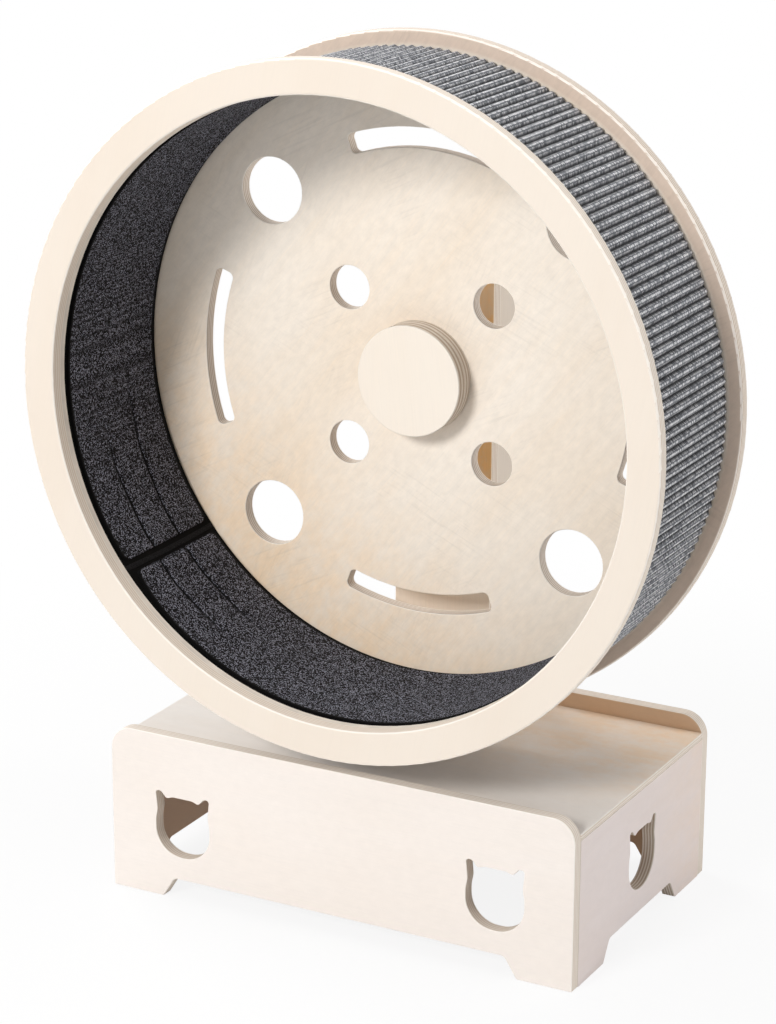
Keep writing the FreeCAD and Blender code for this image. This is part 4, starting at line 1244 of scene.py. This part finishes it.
# ---- ribbed carpet -------------------------------------------------------------------------------
@dataclass
class RibbedCarpet:
    """The grey carpet round the outside of the drum, with ribs that lie along the axle."""

    ribs: int = 212
    rib_height: float = 4.6 * MM
    rib_power: float = 1.1
    thickness: float = 6.3 * MM
    end_round: float = 4.5 * MM
    end_height: float = 0.2
    loop_pitch: float = 3.3 * MM
    lumps: float = 60
    lump_height: float = 0.35 * MM
    lump_sink: float = 0.3 * MM
    steps_across: int = 8
    steps_along: int = 8

    def __post_init__(self) -> None:
        """Take the room from the CAD carpet."""
        self.room = RoundSpace.of("outer_carpet")
        self.inner = self.room.radius - self.thickness
        self.share = FULL_TURN / self.ribs

    def build(self) -> bpy.types.Object:
        """Build the carpet.

        Returns:
            The piece.
        """
        mesh = self._one_rib()
        bmesh.ops.spin(mesh, geom=mesh.verts[:] + mesh.edges[:] + mesh.faces[:],
                       cent=self.room.centre, axis=(0, -1, 0), angle=FULL_TURN - self.share,
                       steps=self.ribs - 1, use_duplicate=True)
        bmesh.ops.remove_doubles(mesh, verts=mesh.verts, dist=0.02 * MM)
        self._close(mesh)
        self._chart(mesh)
        self._ruffle(mesh)
        yarn = LoopYarn("carpet_yarn", self.room.width / self.loop_pitch).material()
        piece = as_piece("ribbed_carpet", mesh, yarn, Body.WHEEL, 80.0,
                         "outer_carpet")
        FULL_TURN * self.room.radius
        return piece

    def _one_rib(self) -> bmesh.types.BMesh:
        """Shape one rib at the drum's +X side from a flat grid.

        Returns:
            The rib's shape.
        """
        mesh = bmesh.new()
        bmesh.ops.create_grid(mesh, x_segments=self.steps_across, y_segments=self.steps_along,
                              size=0.5)
        middle = (self.room.front + self.room.back) / 2
        width = self.room.width
        valley = self.room.radius - self.rib_height
        for vert in mesh.verts:
            swell = max(0.0, math.cos(math.pi * vert.co.x)) ** self.rib_power
            from_end = (0.5 - abs(vert.co.y)) * width
            y = middle + vert.co.y * width
            if 0 < from_end < width / self.steps_along * 1.01:
                y = middle + math.copysign(width / 2 - self.end_round, vert.co.y)
            fall = self.end_height if from_end == 0 else 1.0
            radius = valley + self.rib_height * swell * fall
            vert.co = self.room.at(radius, self.share * vert.co.x, y)
        return mesh

    def _spoke(self, place: Vector) -> Vector:
        """Give the way from the axle's line straight out to a point."""
        spoke = place - self.room.centre
        return Vector((spoke.x, 0, spoke.z))

    def _close(self, mesh: bmesh.types.BMesh) -> None:
        """Add the carpet's cut ends and its back.

        Args:
            mesh: The ribs, which are closed here.
        """
        rims = [edge for edge in mesh.edges if edge.is_boundary]
        skirt = bmesh.ops.extrude_edge_only(mesh, edges=rims)["geom"]
        for item in skirt:
            if isinstance(item, bmesh.types.BMVert):
                spoke = self._spoke(item.co)
                item.co -= spoke * (1 - self.inner / spoke.length)
        loops = [item for item in skirt
                 if isinstance(item, bmesh.types.BMEdge) and item.is_boundary]
        bmesh.ops.bridge_loops(mesh, edges=loops)

    def _chart(self, mesh: bmesh.types.BMesh) -> None:
        """Give each face its place as a count of ribs and of loops.

        Args:
            mesh: The carpet.
        """
        chart = mesh.loops.layers.uv.new("ribs")
        for face in mesh.faces:
            middle = self._turns(face.calc_center_median())
            for corner in face.loops:
                turns = self._turns(corner.vert.co)
                turns += round(middle - turns)
                along = (corner.vert.co.y - self.room.front) / self.loop_pitch
                corner[chart].uv = (turns * self.ribs + 0.5, along)

    def _turns(self, place: Vector) -> float:
        """Give a point's angle round the axle in turns."""
        return math.atan2(place.z - self.room.centre.z, place.x) / FULL_TURN

    def _ruffle(self, mesh: bmesh.types.BMesh) -> None:
        """Make the ribs a little uneven.

        Args:
            mesh: The carpet.
        """
        for vert in mesh.verts:
            spoke = self._spoke(vert.co)
            if spoke.length < self.room.radius - self.rib_height * 0.7:
                continue
            lump = noise.noise(vert.co * self.lumps) * self.lump_height - self.lump_sink
            vert.co += spoke.normalized() * lump


# ---- fasteners -----------------------------------------------------------------------------------
@dataclass(frozen=True)
class Hexagon:
    """The six-sided outline of a nut, a bolt head or a key socket."""

    across_flats: float
    chamfer_degrees: float = 30.0

    TOP_SHARE = 0.95
    FACE_SHARE = 0.97

    @property
    def flat(self) -> float:
        """Distance from the middle to a flat side."""
        return self.across_flats / 2

    def radius_at(self, angle: float) -> float:
        """Give the outline's radius in a direction, which is in radians."""
        sixth = FULL_TURN / 6
        return self.flat / math.cos((angle % sixth) - sixth / 2)

    def shape(self, verts: Iterable[bmesh.types.BMVert], centre: Vector, low: float, high: float,
              chamfer: bool = True) -> None:
        """Push the outermost vertices of a lathed shape out to the outline.

        Args:
            verts: The vertices that are looked at.
            centre: A point on the shape's line.
            low: The y below which nothing changes.
            high: The y above which nothing changes.
            chamfer: Whether the corners are turned down at both ends.
        """
        for vert in verts:
            spoke = vert.co - centre
            y = spoke.y
            spoke.y = 0
            if spoke.length < self.flat * 0.999 or not low <= vert.co.y <= high:
                continue
            radius = self.radius_at(math.atan2(spoke.z, spoke.x))
            if chamfer:
                drop = (radius - self.flat) * math.tan(math.radians(self.chamfer_degrees))
                middle = (high + low) / 2 - centre.y
                y = middle + math.copysign((high - low) / 2 - drop, y - middle)
            vert.co = centre + spoke.normalized() * radius + Vector((0, y, 0))


@dataclass(frozen=True)
class Fastener:
    """A fastener along Y, turned from a profile and then cut where it isn't round."""

    STEPS = 48
    CLOSED = False

    def add(self, mesh: bmesh.types.BMesh, start: Vector, length: float) -> None:
        """Add one to a mesh.

        Args:
            mesh: Where it is added.
            start: The middle of its first face.
            length: Its whole length.
        """
        verts = lathe(mesh, self.profile(length), start, self.STEPS, self.CLOSED)
        self.cut(verts, start, length)

    def profile(self, length: float) -> Profile:
        """Give its points of (radius, y from the start)."""
        raise NotImplementedError

    def cut(self, verts: list[bmesh.types.BMVert], start: Vector, length: float) -> None:
        """Shape what isn't round."""
        raise NotImplementedError


@dataclass(frozen=True)
class HexNut(Fastener):
    """A chamfered nut along +Y, with a lead into its bore."""

    outline: Hexagon
    bore: float
    lead: float = 0.6 * MM
    lead_depth: float = 0.5 * MM

    CLOSED = True

    def profile(self, length: float) -> Profile:
        """Give the nut's section.

        Args:
            length: The nut's height.

        Returns:
            Its points.
        """
        flat, mouth = self.outline.flat, self.bore + self.lead
        rim = flat * self.outline.FACE_SHARE
        return [(self.bore, self.lead_depth), (mouth, 0), (rim, 0), (flat, TINY),
                (flat, length - TINY), (rim, length), (mouth, length),
                (self.bore, length - self.lead_depth)]

    def cut(self, verts: list[bmesh.types.BMVert], start: Vector, length: float) -> None:
        """Cut its six sides."""
        self.outline.shape(verts, start, start.y, start.y + length)


@dataclass(frozen=True)
class HexScrew(Fastener):
    """A hexagon-head screw along +Y."""

    outline: Hexagon
    head: float
    shank: float
    point: float = 1 * MM
    point_share: float = 0.7

    def profile(self, length: float) -> Profile:
        """Give the head and the shank with its blunt point.

        Args:
            length: The whole length.

        Returns:
            The points.
        """
        tip = self.shank * self.point_share
        return self._head() + [(self.shank, length - self.point), (tip, length), (0, length)]

    def _head(self) -> Profile:
        """Give the head down to the shank.

        Returns:
            The points from the head's outer face.
        """
        flat = self.outline.flat
        top = flat * self.outline.TOP_SHARE
        return [(0, 0), (top, 0), (flat, TINY), (flat, self.head - TINY),
                (flat * self.outline.FACE_SHARE, self.head), (self.shank, self.head)]

    def cut(self, verts: list[bmesh.types.BMVert], start: Vector, length: float) -> None:
        """Cut the head's six sides."""
        self.outline.shape(verts, start, start.y, start.y + self.head)


@dataclass(frozen=True)
class ThreadedBolt(HexScrew):
    """A hexagon-head bolt along +Y, with the crests and roots of a thread at its end."""

    pitch: float = 1 * MM
    thread: float = 12 * MM
    end: float = 0.6 * MM

    STEPS = 36

    def profile(self, length: float) -> Profile:
        """Give the head, the shank and its thread.

        Args:
            length: The whole length.

        Returns:
            The points.
        """
        turns = round((self.thread - self.end) / self.pitch)
        step = (self.thread - self.end) / turns
        root = self.shank - 0.55 * self.pitch
        points = self._head()
        for turn in range(turns):
            crest = length - self.thread + turn * step
            points += [(self.shank, crest), (root, crest + step / 2)]
        return points + [(self.shank, length - self.end), (self.shank - self.end, length),
                         (0, length)]


@dataclass(frozen=True)
class SocketBolt(Fastener):
    """A countersunk bolt along -Y with a key socket in its head."""

    key: Hexagon
    head_radius: float
    head: float
    shank: float
    rim: float = 0.3 * MM
    drill_point: float = 0.8 * MM
    socket_share: float = 0.62
    end: tuple[float, float] = (0.8 * MM, 1 * MM)

    def profile(self, length: float) -> Profile:
        """Give the socket, the head and the shank.

        Args:
            length: The whole length.

        Returns:
            The points.
        """
        depth, flat = self.head * self.socket_share, self.key.flat
        inset, height = self.end
        return [(0, -depth - self.drill_point), (flat, -depth), (flat, 0),
                (self.head_radius - self.rim, 0), (self.head_radius, -self.rim),
                (self.shank, -self.head), (self.shank, height - length),
                (self.shank - inset, -length), (0, -length)]

    def cut(self, verts: list[bmesh.types.BMVert], start: Vector, length: float) -> None:
        """Cut the socket's six sides."""
        inner = [vert for vert in verts if abs((vert.co - start).xz.length - self.key.flat) < TINY]
        self.key.shape(inner, start, start.y - self.head, start.y, False)


@dataclass(frozen=True)
class CrossScrew(Fastener):
    """A countersunk wood screw along -Y with a cross recess."""

    head_radius: float
    head: float
    shank: float
    point: float = 3 * MM
    rim: float = 0.25 * MM
    wing_share: float = 0.13
    wing_depth: float = 0.35
    middle_depth: float = 0.45

    RINGS = (0.12, 0.24, 0.36, 0.48, 0.6)

    def profile(self, length: float) -> Profile:
        """Give the head, with rings to cut the recess from, the shank and the point.

        Args:
            length: The whole length.

        Returns:
            The points.
        """
        face = [(self.head_radius * share, 0) for share in (0, *self.RINGS, 1)]
        return face + [(self.head_radius, -self.rim), (self.shank, -self.head),
                       (self.shank, -length + self.point), (0, -length)]

    def cut(self, verts: list[bmesh.types.BMVert], start: Vector, length: float) -> None:
        """Press the cross recess into the head.

        Args:
            verts: The screw's vertices.
            start: The middle of its face.
            length: Its whole length; not used.
        """
        *_, reach, edge = (self.head_radius * share for share in self.RINGS)
        for vert in verts:
            spoke = vert.co - start
            out = spoke.xz.length
            if abs(spoke.y) > TINY / 10 or out > reach * 1.01:
                continue
            if min(abs(spoke.x), abs(spoke.z)) < self.head_radius * self.wing_share:
                depth = self.wing_depth + self.middle_depth * (1 - out / edge)
                vert.co.y -= self.head * depth


def fasteners(name: str, node: str, fastener: Fastener, places: Iterable[Sequence[float]],
              metals: Metals, body: Body, from_back: bool = False) -> bpy.types.Object:
    """Stand plated fasteners in for a CAD node.

    Args:
        name: The piece's name.
        node: The CAD node that holds them.
        fastener: What they are.
        places: Each one's x and z.
        metals: The metal finishes by the record's slots.
        body: What they move with.
        from_back: Whether they start at the node's high y and run along -Y.

    Returns:
        The piece.
    """
    low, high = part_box(node)
    mesh = bmesh.new()
    for x, z in places:
        fastener.add(mesh, Vector((x, high.y if from_back else low.y, z)), high.y - low.y)
    return as_piece(name, mesh, metals["zinc_steel"], body, stands_for=node)


# ---- sub-assemblies ------------------------------------------------------------------------------
@dataclass
class Drum:
    """Ring, hoop, shell and pierced disc of the wheel, with its two carpets."""

    disc_grain: float = 52.0
    ring_grain: float = 78.0

    def build(self) -> list[bpy.types.Object]:
        """Dress the wooden nodes and build the carpets.

        Returns:
            The new pieces.
        """
        upright = Lie.UPRIGHT_FRONT
        front = Plywood.of("front_ring", upright, "ring_ply", grain_degrees=self.ring_grain,
                           dark_edge=rgb(224, 204, 184), figure_share=0.2, brushing=0.03)
        clear = Veneer.CLEAR_BIRCH
        disc = RoundSpace.of("back_disc")
        # Painted shade on the disc's face outside the outer carpet, where the drum shades it.
        band = PaintedShadeBand(disc.centre + Vector((0, disc.front, 0)),
                        RoundSpace.of("outer_carpet").radius)
        # Painted shade: a warmer, patchy tint toward the disc's lower left, where the drum and the
        # mat shade it.
        warm = HeartwoodAndShade(along=(0.5, 0.15), strength=0.42, tint=rgb(250, 214, 170))
        back = Plywood.of("back_disc", upright, "disc_ply", grain_degrees=self.disc_grain,
                          low_face=clear, high_face=clear, figure_share=0.5, brushing=0.07,
                          scratches=0.5, mottle=0.11, heartwood=warm, painted_shade_band=band)
        boards = [sanded("front_ring", front, Body.WHEEL),
                  sanded("back_disc", back, Body.WHEEL)]
        bent = Plywood.of("front_ring", upright, "bent_ply", thickness=0.24, plies=1)
        paint(bent.material(), "front_hoop", *SHELL_PANELS)
        return [*boards, *RunningMat().build(), RibbedCarpet().build()]


@dataclass
class Hub:
    """Wooden cap and ring, metal sleeve, bearings and the bolts of the sleeve."""

    nut: HexNut = HexNut(Hexagon(9.9 * MM), 3.02 * MM)
    bolt: ThreadedBolt = ThreadedBolt(Hexagon(9.9 * MM), 3.9 * MM, 3 * MM)
    bolt_count: int = 6
    bolt_circle: float = 50 * MM
    grains: tuple[tuple[str, float], ...] = (("hub_cap", 96.0), ("hub_ring", 20.0))

    def build(self, metals: Metals) -> list[bpy.types.Object]:
        """Dress the hub's nodes and build its bolts and nuts.

        Args:
            metals: The metal finishes by the record's slots.

        Returns:
            The new pieces.
        """
        pieces = []
        for node, turn in self.grains:
            ply = Plywood.of(node, Lie.UPRIGHT_FRONT, thickness=RoundSpace.of(node).width, plies=5,
                             grain_degrees=turn, low_face=Veneer.CLEAR_BIRCH, figure_share=0.15,
                             brushing=0.04)
            pieces.append(sanded(node, ply, Body.WHEEL))
        paint(metals["aluminium"], "hub_sleeve")
        paint(metals["zinc_steel"], "hub_washers")
        for end in ("front", "rear"):
            parts = [f"{end}_bearing_{part}" for part in ("inner_race", "outer_race", "balls")]
            paint(metals["bearing_steel"], *parts)
            paint(metals["cage_brass"], f"{end}_bearing_cage")
        for name, node, kind in (("hub_bolt_nuts", "hub_nuts", self.nut),
                                 ("hub_bolt_shanks", "hub_bolts", self.bolt)):
            pieces.append(fasteners(name, node, kind, self._places(), metals, Body.WHEEL))
        return pieces

    def _places(self) -> list[Vector]:
        """Share the bolts out round the axle.

        Returns:
            The x and z of each bolt's line.
        """
        step = FULL_TURN / self.bolt_count
        ring = RoundSpace.of("hub_ring")
        return [ring.at(self.bolt_circle, step * i, 0).xz for i in range(self.bolt_count)]


@dataclass
class Axle:
    """The fixed axle, its flange, nuts and washers."""

    nut: HexNut = HexNut(Hexagon(30 * MM), 10.02 * MM)
    coach_screw: HexScrew = HexScrew(Hexagon(13.2 * MM), 5.2 * MM, 4 * MM)
    coach_half: float = 42 * MM

    def build(self, metals: Metals) -> list[bpy.types.Object]:
        """Dress the axle's nodes and build its nuts and coach screws.

        Args:
            metals: The metal finishes by the record's slots.

        Returns:
            The new pieces.
        """
        paint(metals["bare_steel"], "axle", "axle_flange")
        paint(metals["zinc_steel"], "axle_front_washer", "axle_rear_washer")
        paint(metals["aluminium"], "bearing_spacer")
        height = RoundSpace.of("axle").centre.z
        places = [(side * self.coach_half, height + level * self.coach_half)
                  for side in SIDES for level in SIDES]
        pieces = [fasteners("flange_coach_screws", "coach_screws", self.coach_screw, places,
                            metals, Body.STAND)]
        for node in ("axle_front_nut", "axle_rear_nut"):
            place = RoundSpace.of(node).centre.xz
            pieces.append(fasteners(node + "_chamfered", node, self.nut, [place], metals,
                                    Body.STAND))
        return pieces


@dataclass
class Column:
    """The box column behind the disc, with its screws and bolts."""

    bolt: SocketBolt = SocketBolt(Hexagon(5 * MM), 7.5 * MM, 4.5 * MM, 4 * MM)
    bolt_x: float = 32 * MM
    bolt_levels: tuple[float, float] = (100 * MM, 170 * MM)
    screw: CrossScrew = CrossScrew(4 * MM, 2.4 * MM, 2 * MM)
    screw_x: float = 63 * MM
    screw_low: float = 100 * MM
    screw_high: float = 822 * MM
    screw_rows: int = 5

    def build(self, metals: Metals) -> list[bpy.types.Object]:
        """Dress the column's nodes and build its screws and bolts.

        Args:
            metals: The metal finishes by the record's slots.

        Returns:
            The new pieces.
        """
        warm, birch = Veneer.WARM_POPLAR, Veneer.BIRCH
        # Painted shade: the right part of the front plate above the slot, in the disc's shade
        # behind its holes, is warmer and browner.
        heart = HeartwoodAndShade((43 * MM, 55 * MM), (0.44, 0.52))
        pieces = []
        for part, lie, grain, low, high, heartwood in (
                ("front_plate", Lie.UPRIGHT_FRONT, 90.0, birch, warm, heart),
                ("back_plate", Lie.UPRIGHT_FRONT, 90.0, warm, birch, None),
                ("left_plate", Lie.UPRIGHT_SIDE, 90.0, birch, warm, None),
                ("right_plate", Lie.UPRIGHT_SIDE, 90.0, warm, birch, None),
                ("cap", Lie.LEVEL, 0.0, warm, birch, None)):
            node = "column_" + part
            ply = Plywood.of(node, lie, grain_degrees=grain, low_face=low, high_face=high,
                             heartwood=heartwood)
            pieces.append(sanded(node, ply, Body.STAND))
        block = SawnWood("axle_block_wood", Vector((0, 0, 1)))
        paint(block.material(), "front_axle_block", "rear_axle_block")
        paint(metals["zinc_steel"], "column_washers", "column_nuts")
        step = (self.screw_high - self.screw_low) / (self.screw_rows - 1)
        screws = [(side * self.screw_x, self.screw_low + row * step)
                  for row in range(self.screw_rows) for side in SIDES]
        bolts = [(side * self.bolt_x, level) for side in SIDES for level in self.bolt_levels]
        for name, node, kind, places in (
                ("column_wood_screws", "column_screws", self.screw, screws),
                ("column_socket_bolts", "column_bolts", self.bolt, bolts)):
            pieces.append(fasteners(name, node, kind, places, metals, Body.STAND, True))
        return pieces


@dataclass
class Base:
    """The low box under the wheel."""

    panel_thickness: float = 9 * MM
    panel_plies: int = 5
    rounding: float = 1.4 * MM

    def build(self, metals: Metals) -> list[bpy.types.Object]:
        """Dress the base's nodes.

        Args:
            metals: The metal finishes by the record's slots.

        Returns:
            The new pieces.
        """
        warm, pale, dull = Veneer.WARM_POPLAR, Veneer.PALE_BIRCH, Veneer.DULL_BIRCH
        front, side = Lie.UPRIGHT_FRONT, Lie.UPRIGHT_SIDE
        far_end = HeartwoodAndShade(along=(0.0, 0.22), strength=0.12)
        far_corner = HeartwoodAndShade((-0.12, 0.1), (-0.15, 0.3), 0.42, rgb(246, 206, 158))
        boards = [
            self._board("front_board", front, pale, warm),
            self._board("back_board", front, warm, pale),
            self._board("left_side_board", side, dull, warm, heartwood=far_end),
            self._board("right_side_board", side, warm, dull, heartwood=far_end),
            self._board("top_panel", Lie.LEVEL, warm, Veneer.WHITE_BIRCH, heartwood=far_corner,
                        thickness=self.panel_thickness, plies=self.panel_plies),
        ]
        along_y = SawnWood("brace_wood", Vector((0, 1, 0))).material()
        paint(along_y, "left_brace", "right_brace")
        along_x = SawnWood("cleat_wood", Vector((1, 0, 0))).material()
        along_z = SawnWood("corner_block_wood", Vector((0, 0, 1))).material()
        for corner in ("front_left", "front_right", "back_left", "back_right"):
            paint(along_x, corner + "_cleat")
            paint(along_z, corner + "_corner_block")
        paint(metals["zinc_steel"], "block_screws", "cleat_screws", "brace_screws")
        return boards

    def _board(self, node: str, lie: Lie, low: Veneer, high: Veneer,
               **looks: object) -> bpy.types.Object:
        """Stand a sanded board in for a node.

        Args:
            node: The CAD node's name.
            lie: How the board lies.
            low: Veneer of the face on the low side.
            high: Veneer of the face on the high side.
            looks: Other fields of its plywood.

        Returns:
            The piece.
        """
        dark_edge = rgb(193, 166, 140) if lie is Lie.UPRIGHT_SIDE else rgb(224, 204, 184)
        ply = Plywood.of(node, lie, low_face=low, high_face=high, dark_edge=dark_edge,
                         figure_share=0.32, brushing=0.04, mottle=0.04, **looks)
        return sanded(node, ply, Body.STAND, self.rounding)


# ---- studio --------------------------------------------------------------------------------------
@dataclass(frozen=True)
class Softbox:
    """A square lamp."""

    name: str
    place: tuple[float, float, float]
    size: float
    power: float

    def build(self, aim: Vector) -> None:
        """Put the lamp up.

        Args:
            aim: What it looks at.
        """
        place = Vector(self.place)
        data = bpy.data.lights.new(self.name, "AREA")
        data.size = self.size
        data.energy = self.power
        lamp = bpy.data.objects.new(self.name, data)
        lamp.location = place
        lamp.rotation_euler = (aim - place).to_track_quat("-Z", "Y").to_euler()
        bpy.context.scene.collection.objects.link(lamp)


@dataclass
class Studio:
    """Floor, lamps, world and camera."""

    camera_place: Vector = Vector((1.81986, -3.45873, 1.77792))
    azimuth: float = 28.16
    elevation: float = 17.75
    roll: float = 0.28
    focal_pixels: float = 3127.1
    frame_height: int = 1024
    sensor: float = 36
    target: Vector = Vector((0, 0, 0.62))
    softboxes: tuple[Softbox, ...] = (
        Softbox("key_softbox", (-1.66, -7.78, 4.85), 2.3, 497),
        Softbox("front_softbox", (-0.3, -5.4, 1.2), 2.2, 24),
        Softbox("side_softbox", (4.0, 1.5, 1.9), 2.2, 62),
        Softbox("top_softbox", (0.3, -0.8, 4.4), 2.0, 48),
        Softbox("left_softbox", (-3.6, 1.5, 3.4), 2.2, 108),
    )
    ambient: float = 0.225
    ambient_colour: Colour = (0.985, 0.985, 1)
    floor_colour: Colour = (0.82, 0.815, 0.81)
    floor_radius: float = 12
    floor_sides: int = 96
    floor_glow: float = 0.88
    shadow_zone: tuple[float, float] = (0.7, 1.5)

    def build(self) -> None:
        """Set the whole studio up."""
        for softbox in self.softboxes:
            softbox.build(self.target)
        self._world()
        self._floor()
        self._camera()
        bpy.context.scene.view_settings.view_transform = "Standard"

    @staticmethod
    def _seen(shader: Shader) -> Signal:
        """Give 1 for what the camera sees, straight or in gloss and glass.

        Args:
            shader: The shader that asks.

        Returns:
            The share, 0 or 1.
        """
        rays = shader.outputs(shader.node("LightPath"), "Is Camera Ray", "Is Glossy Ray",
                              "Is Transmission Ray")
        return shader.math("MINIMUM", rays[0] + rays[1] + rays[2], 1.0)

    def _world(self) -> None:
        """Light the scene evenly, and show white behind it."""
        world = bpy.data.worlds.new("studio_world")
        bpy.context.scene.world = world
        shader = Shader(world)
        light = shader.node("Background", None, {"Color": (*self.ambient_colour, 1),
                                                 "Strength": self.ambient})
        white = shader.node("Background", None, {"Color": (1, 1, 1, 1), "Strength": 1.0})
        shader.blend("OutputWorld", self._seen(shader), light, white)

    def _floor(self) -> None:
        """Lay a wide pale floor that turns white away from the object's shadow."""
        mesh = bmesh.new()
        bmesh.ops.create_circle(mesh, cap_ends=True, segments=self.floor_sides,
                                radius=self.floor_radius)
        data = bpy.data.meshes.new("studio_floor")
        mesh.to_mesh(data)
        mesh.free()
        floor = bpy.data.objects.new("studio_floor", data)
        bpy.context.scene.collection.objects.link(floor)
        shader = Shader.named("studio_floor_paint")
        matt = shader.node("BsdfDiffuse", None, {"Color": (*self.floor_colour, 1)})
        glow = shader.node("Emission", None, {"Color": (1, 1, 1, 1), "Strength": 1.0})
        place, _ = shader.coordinates()
        away = shader.vector_math("LENGTH", place, output=1)
        glow_share = away.rise(*self.shadow_zone) * (1 - self.floor_glow) + self.floor_glow
        shader.blend("OutputMaterial", self._seen(shader) * glow_share, matt, glow)
        data.materials.append(shader.owner)

    def _camera(self) -> None:
        """Look from where the photograph was taken."""
        data = bpy.data.cameras.new("photo_camera")
        data.sensor_width = self.sensor
        data.lens = self.focal_pixels * self.sensor / self.frame_height
        camera = bpy.data.objects.new("photo_camera", data)
        turn = Matrix.Rotation(math.radians(self.azimuth), 4, "Z")
        tilt = Matrix.Rotation(math.radians(90 - self.elevation), 4, "X")
        roll = Matrix.Rotation(math.radians(self.roll), 4, "Z")
        camera.matrix_world = Matrix.Translation(self.camera_place) @ turn @ tilt @ roll
        bpy.context.scene.collection.objects.link(camera)
        bpy.context.scene.camera = camera


def main() -> None:
    """Load the frame, then build the studio and every sub-assembly."""
    logging.basicConfig(level=logging.INFO, format="%(name)s: %(message)s")
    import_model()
    Studio().build()
    metals = metal_finishes()
    pieces = Drum().build()
    for part in (Hub(), Axle(), Column(), Base()):
        pieces += part.build(metals)
    for piece in pieces:
        LOG.info("%s: %d faces", piece.name, len(piece.data.polygons))


if __name__ == "__main__":
    main()
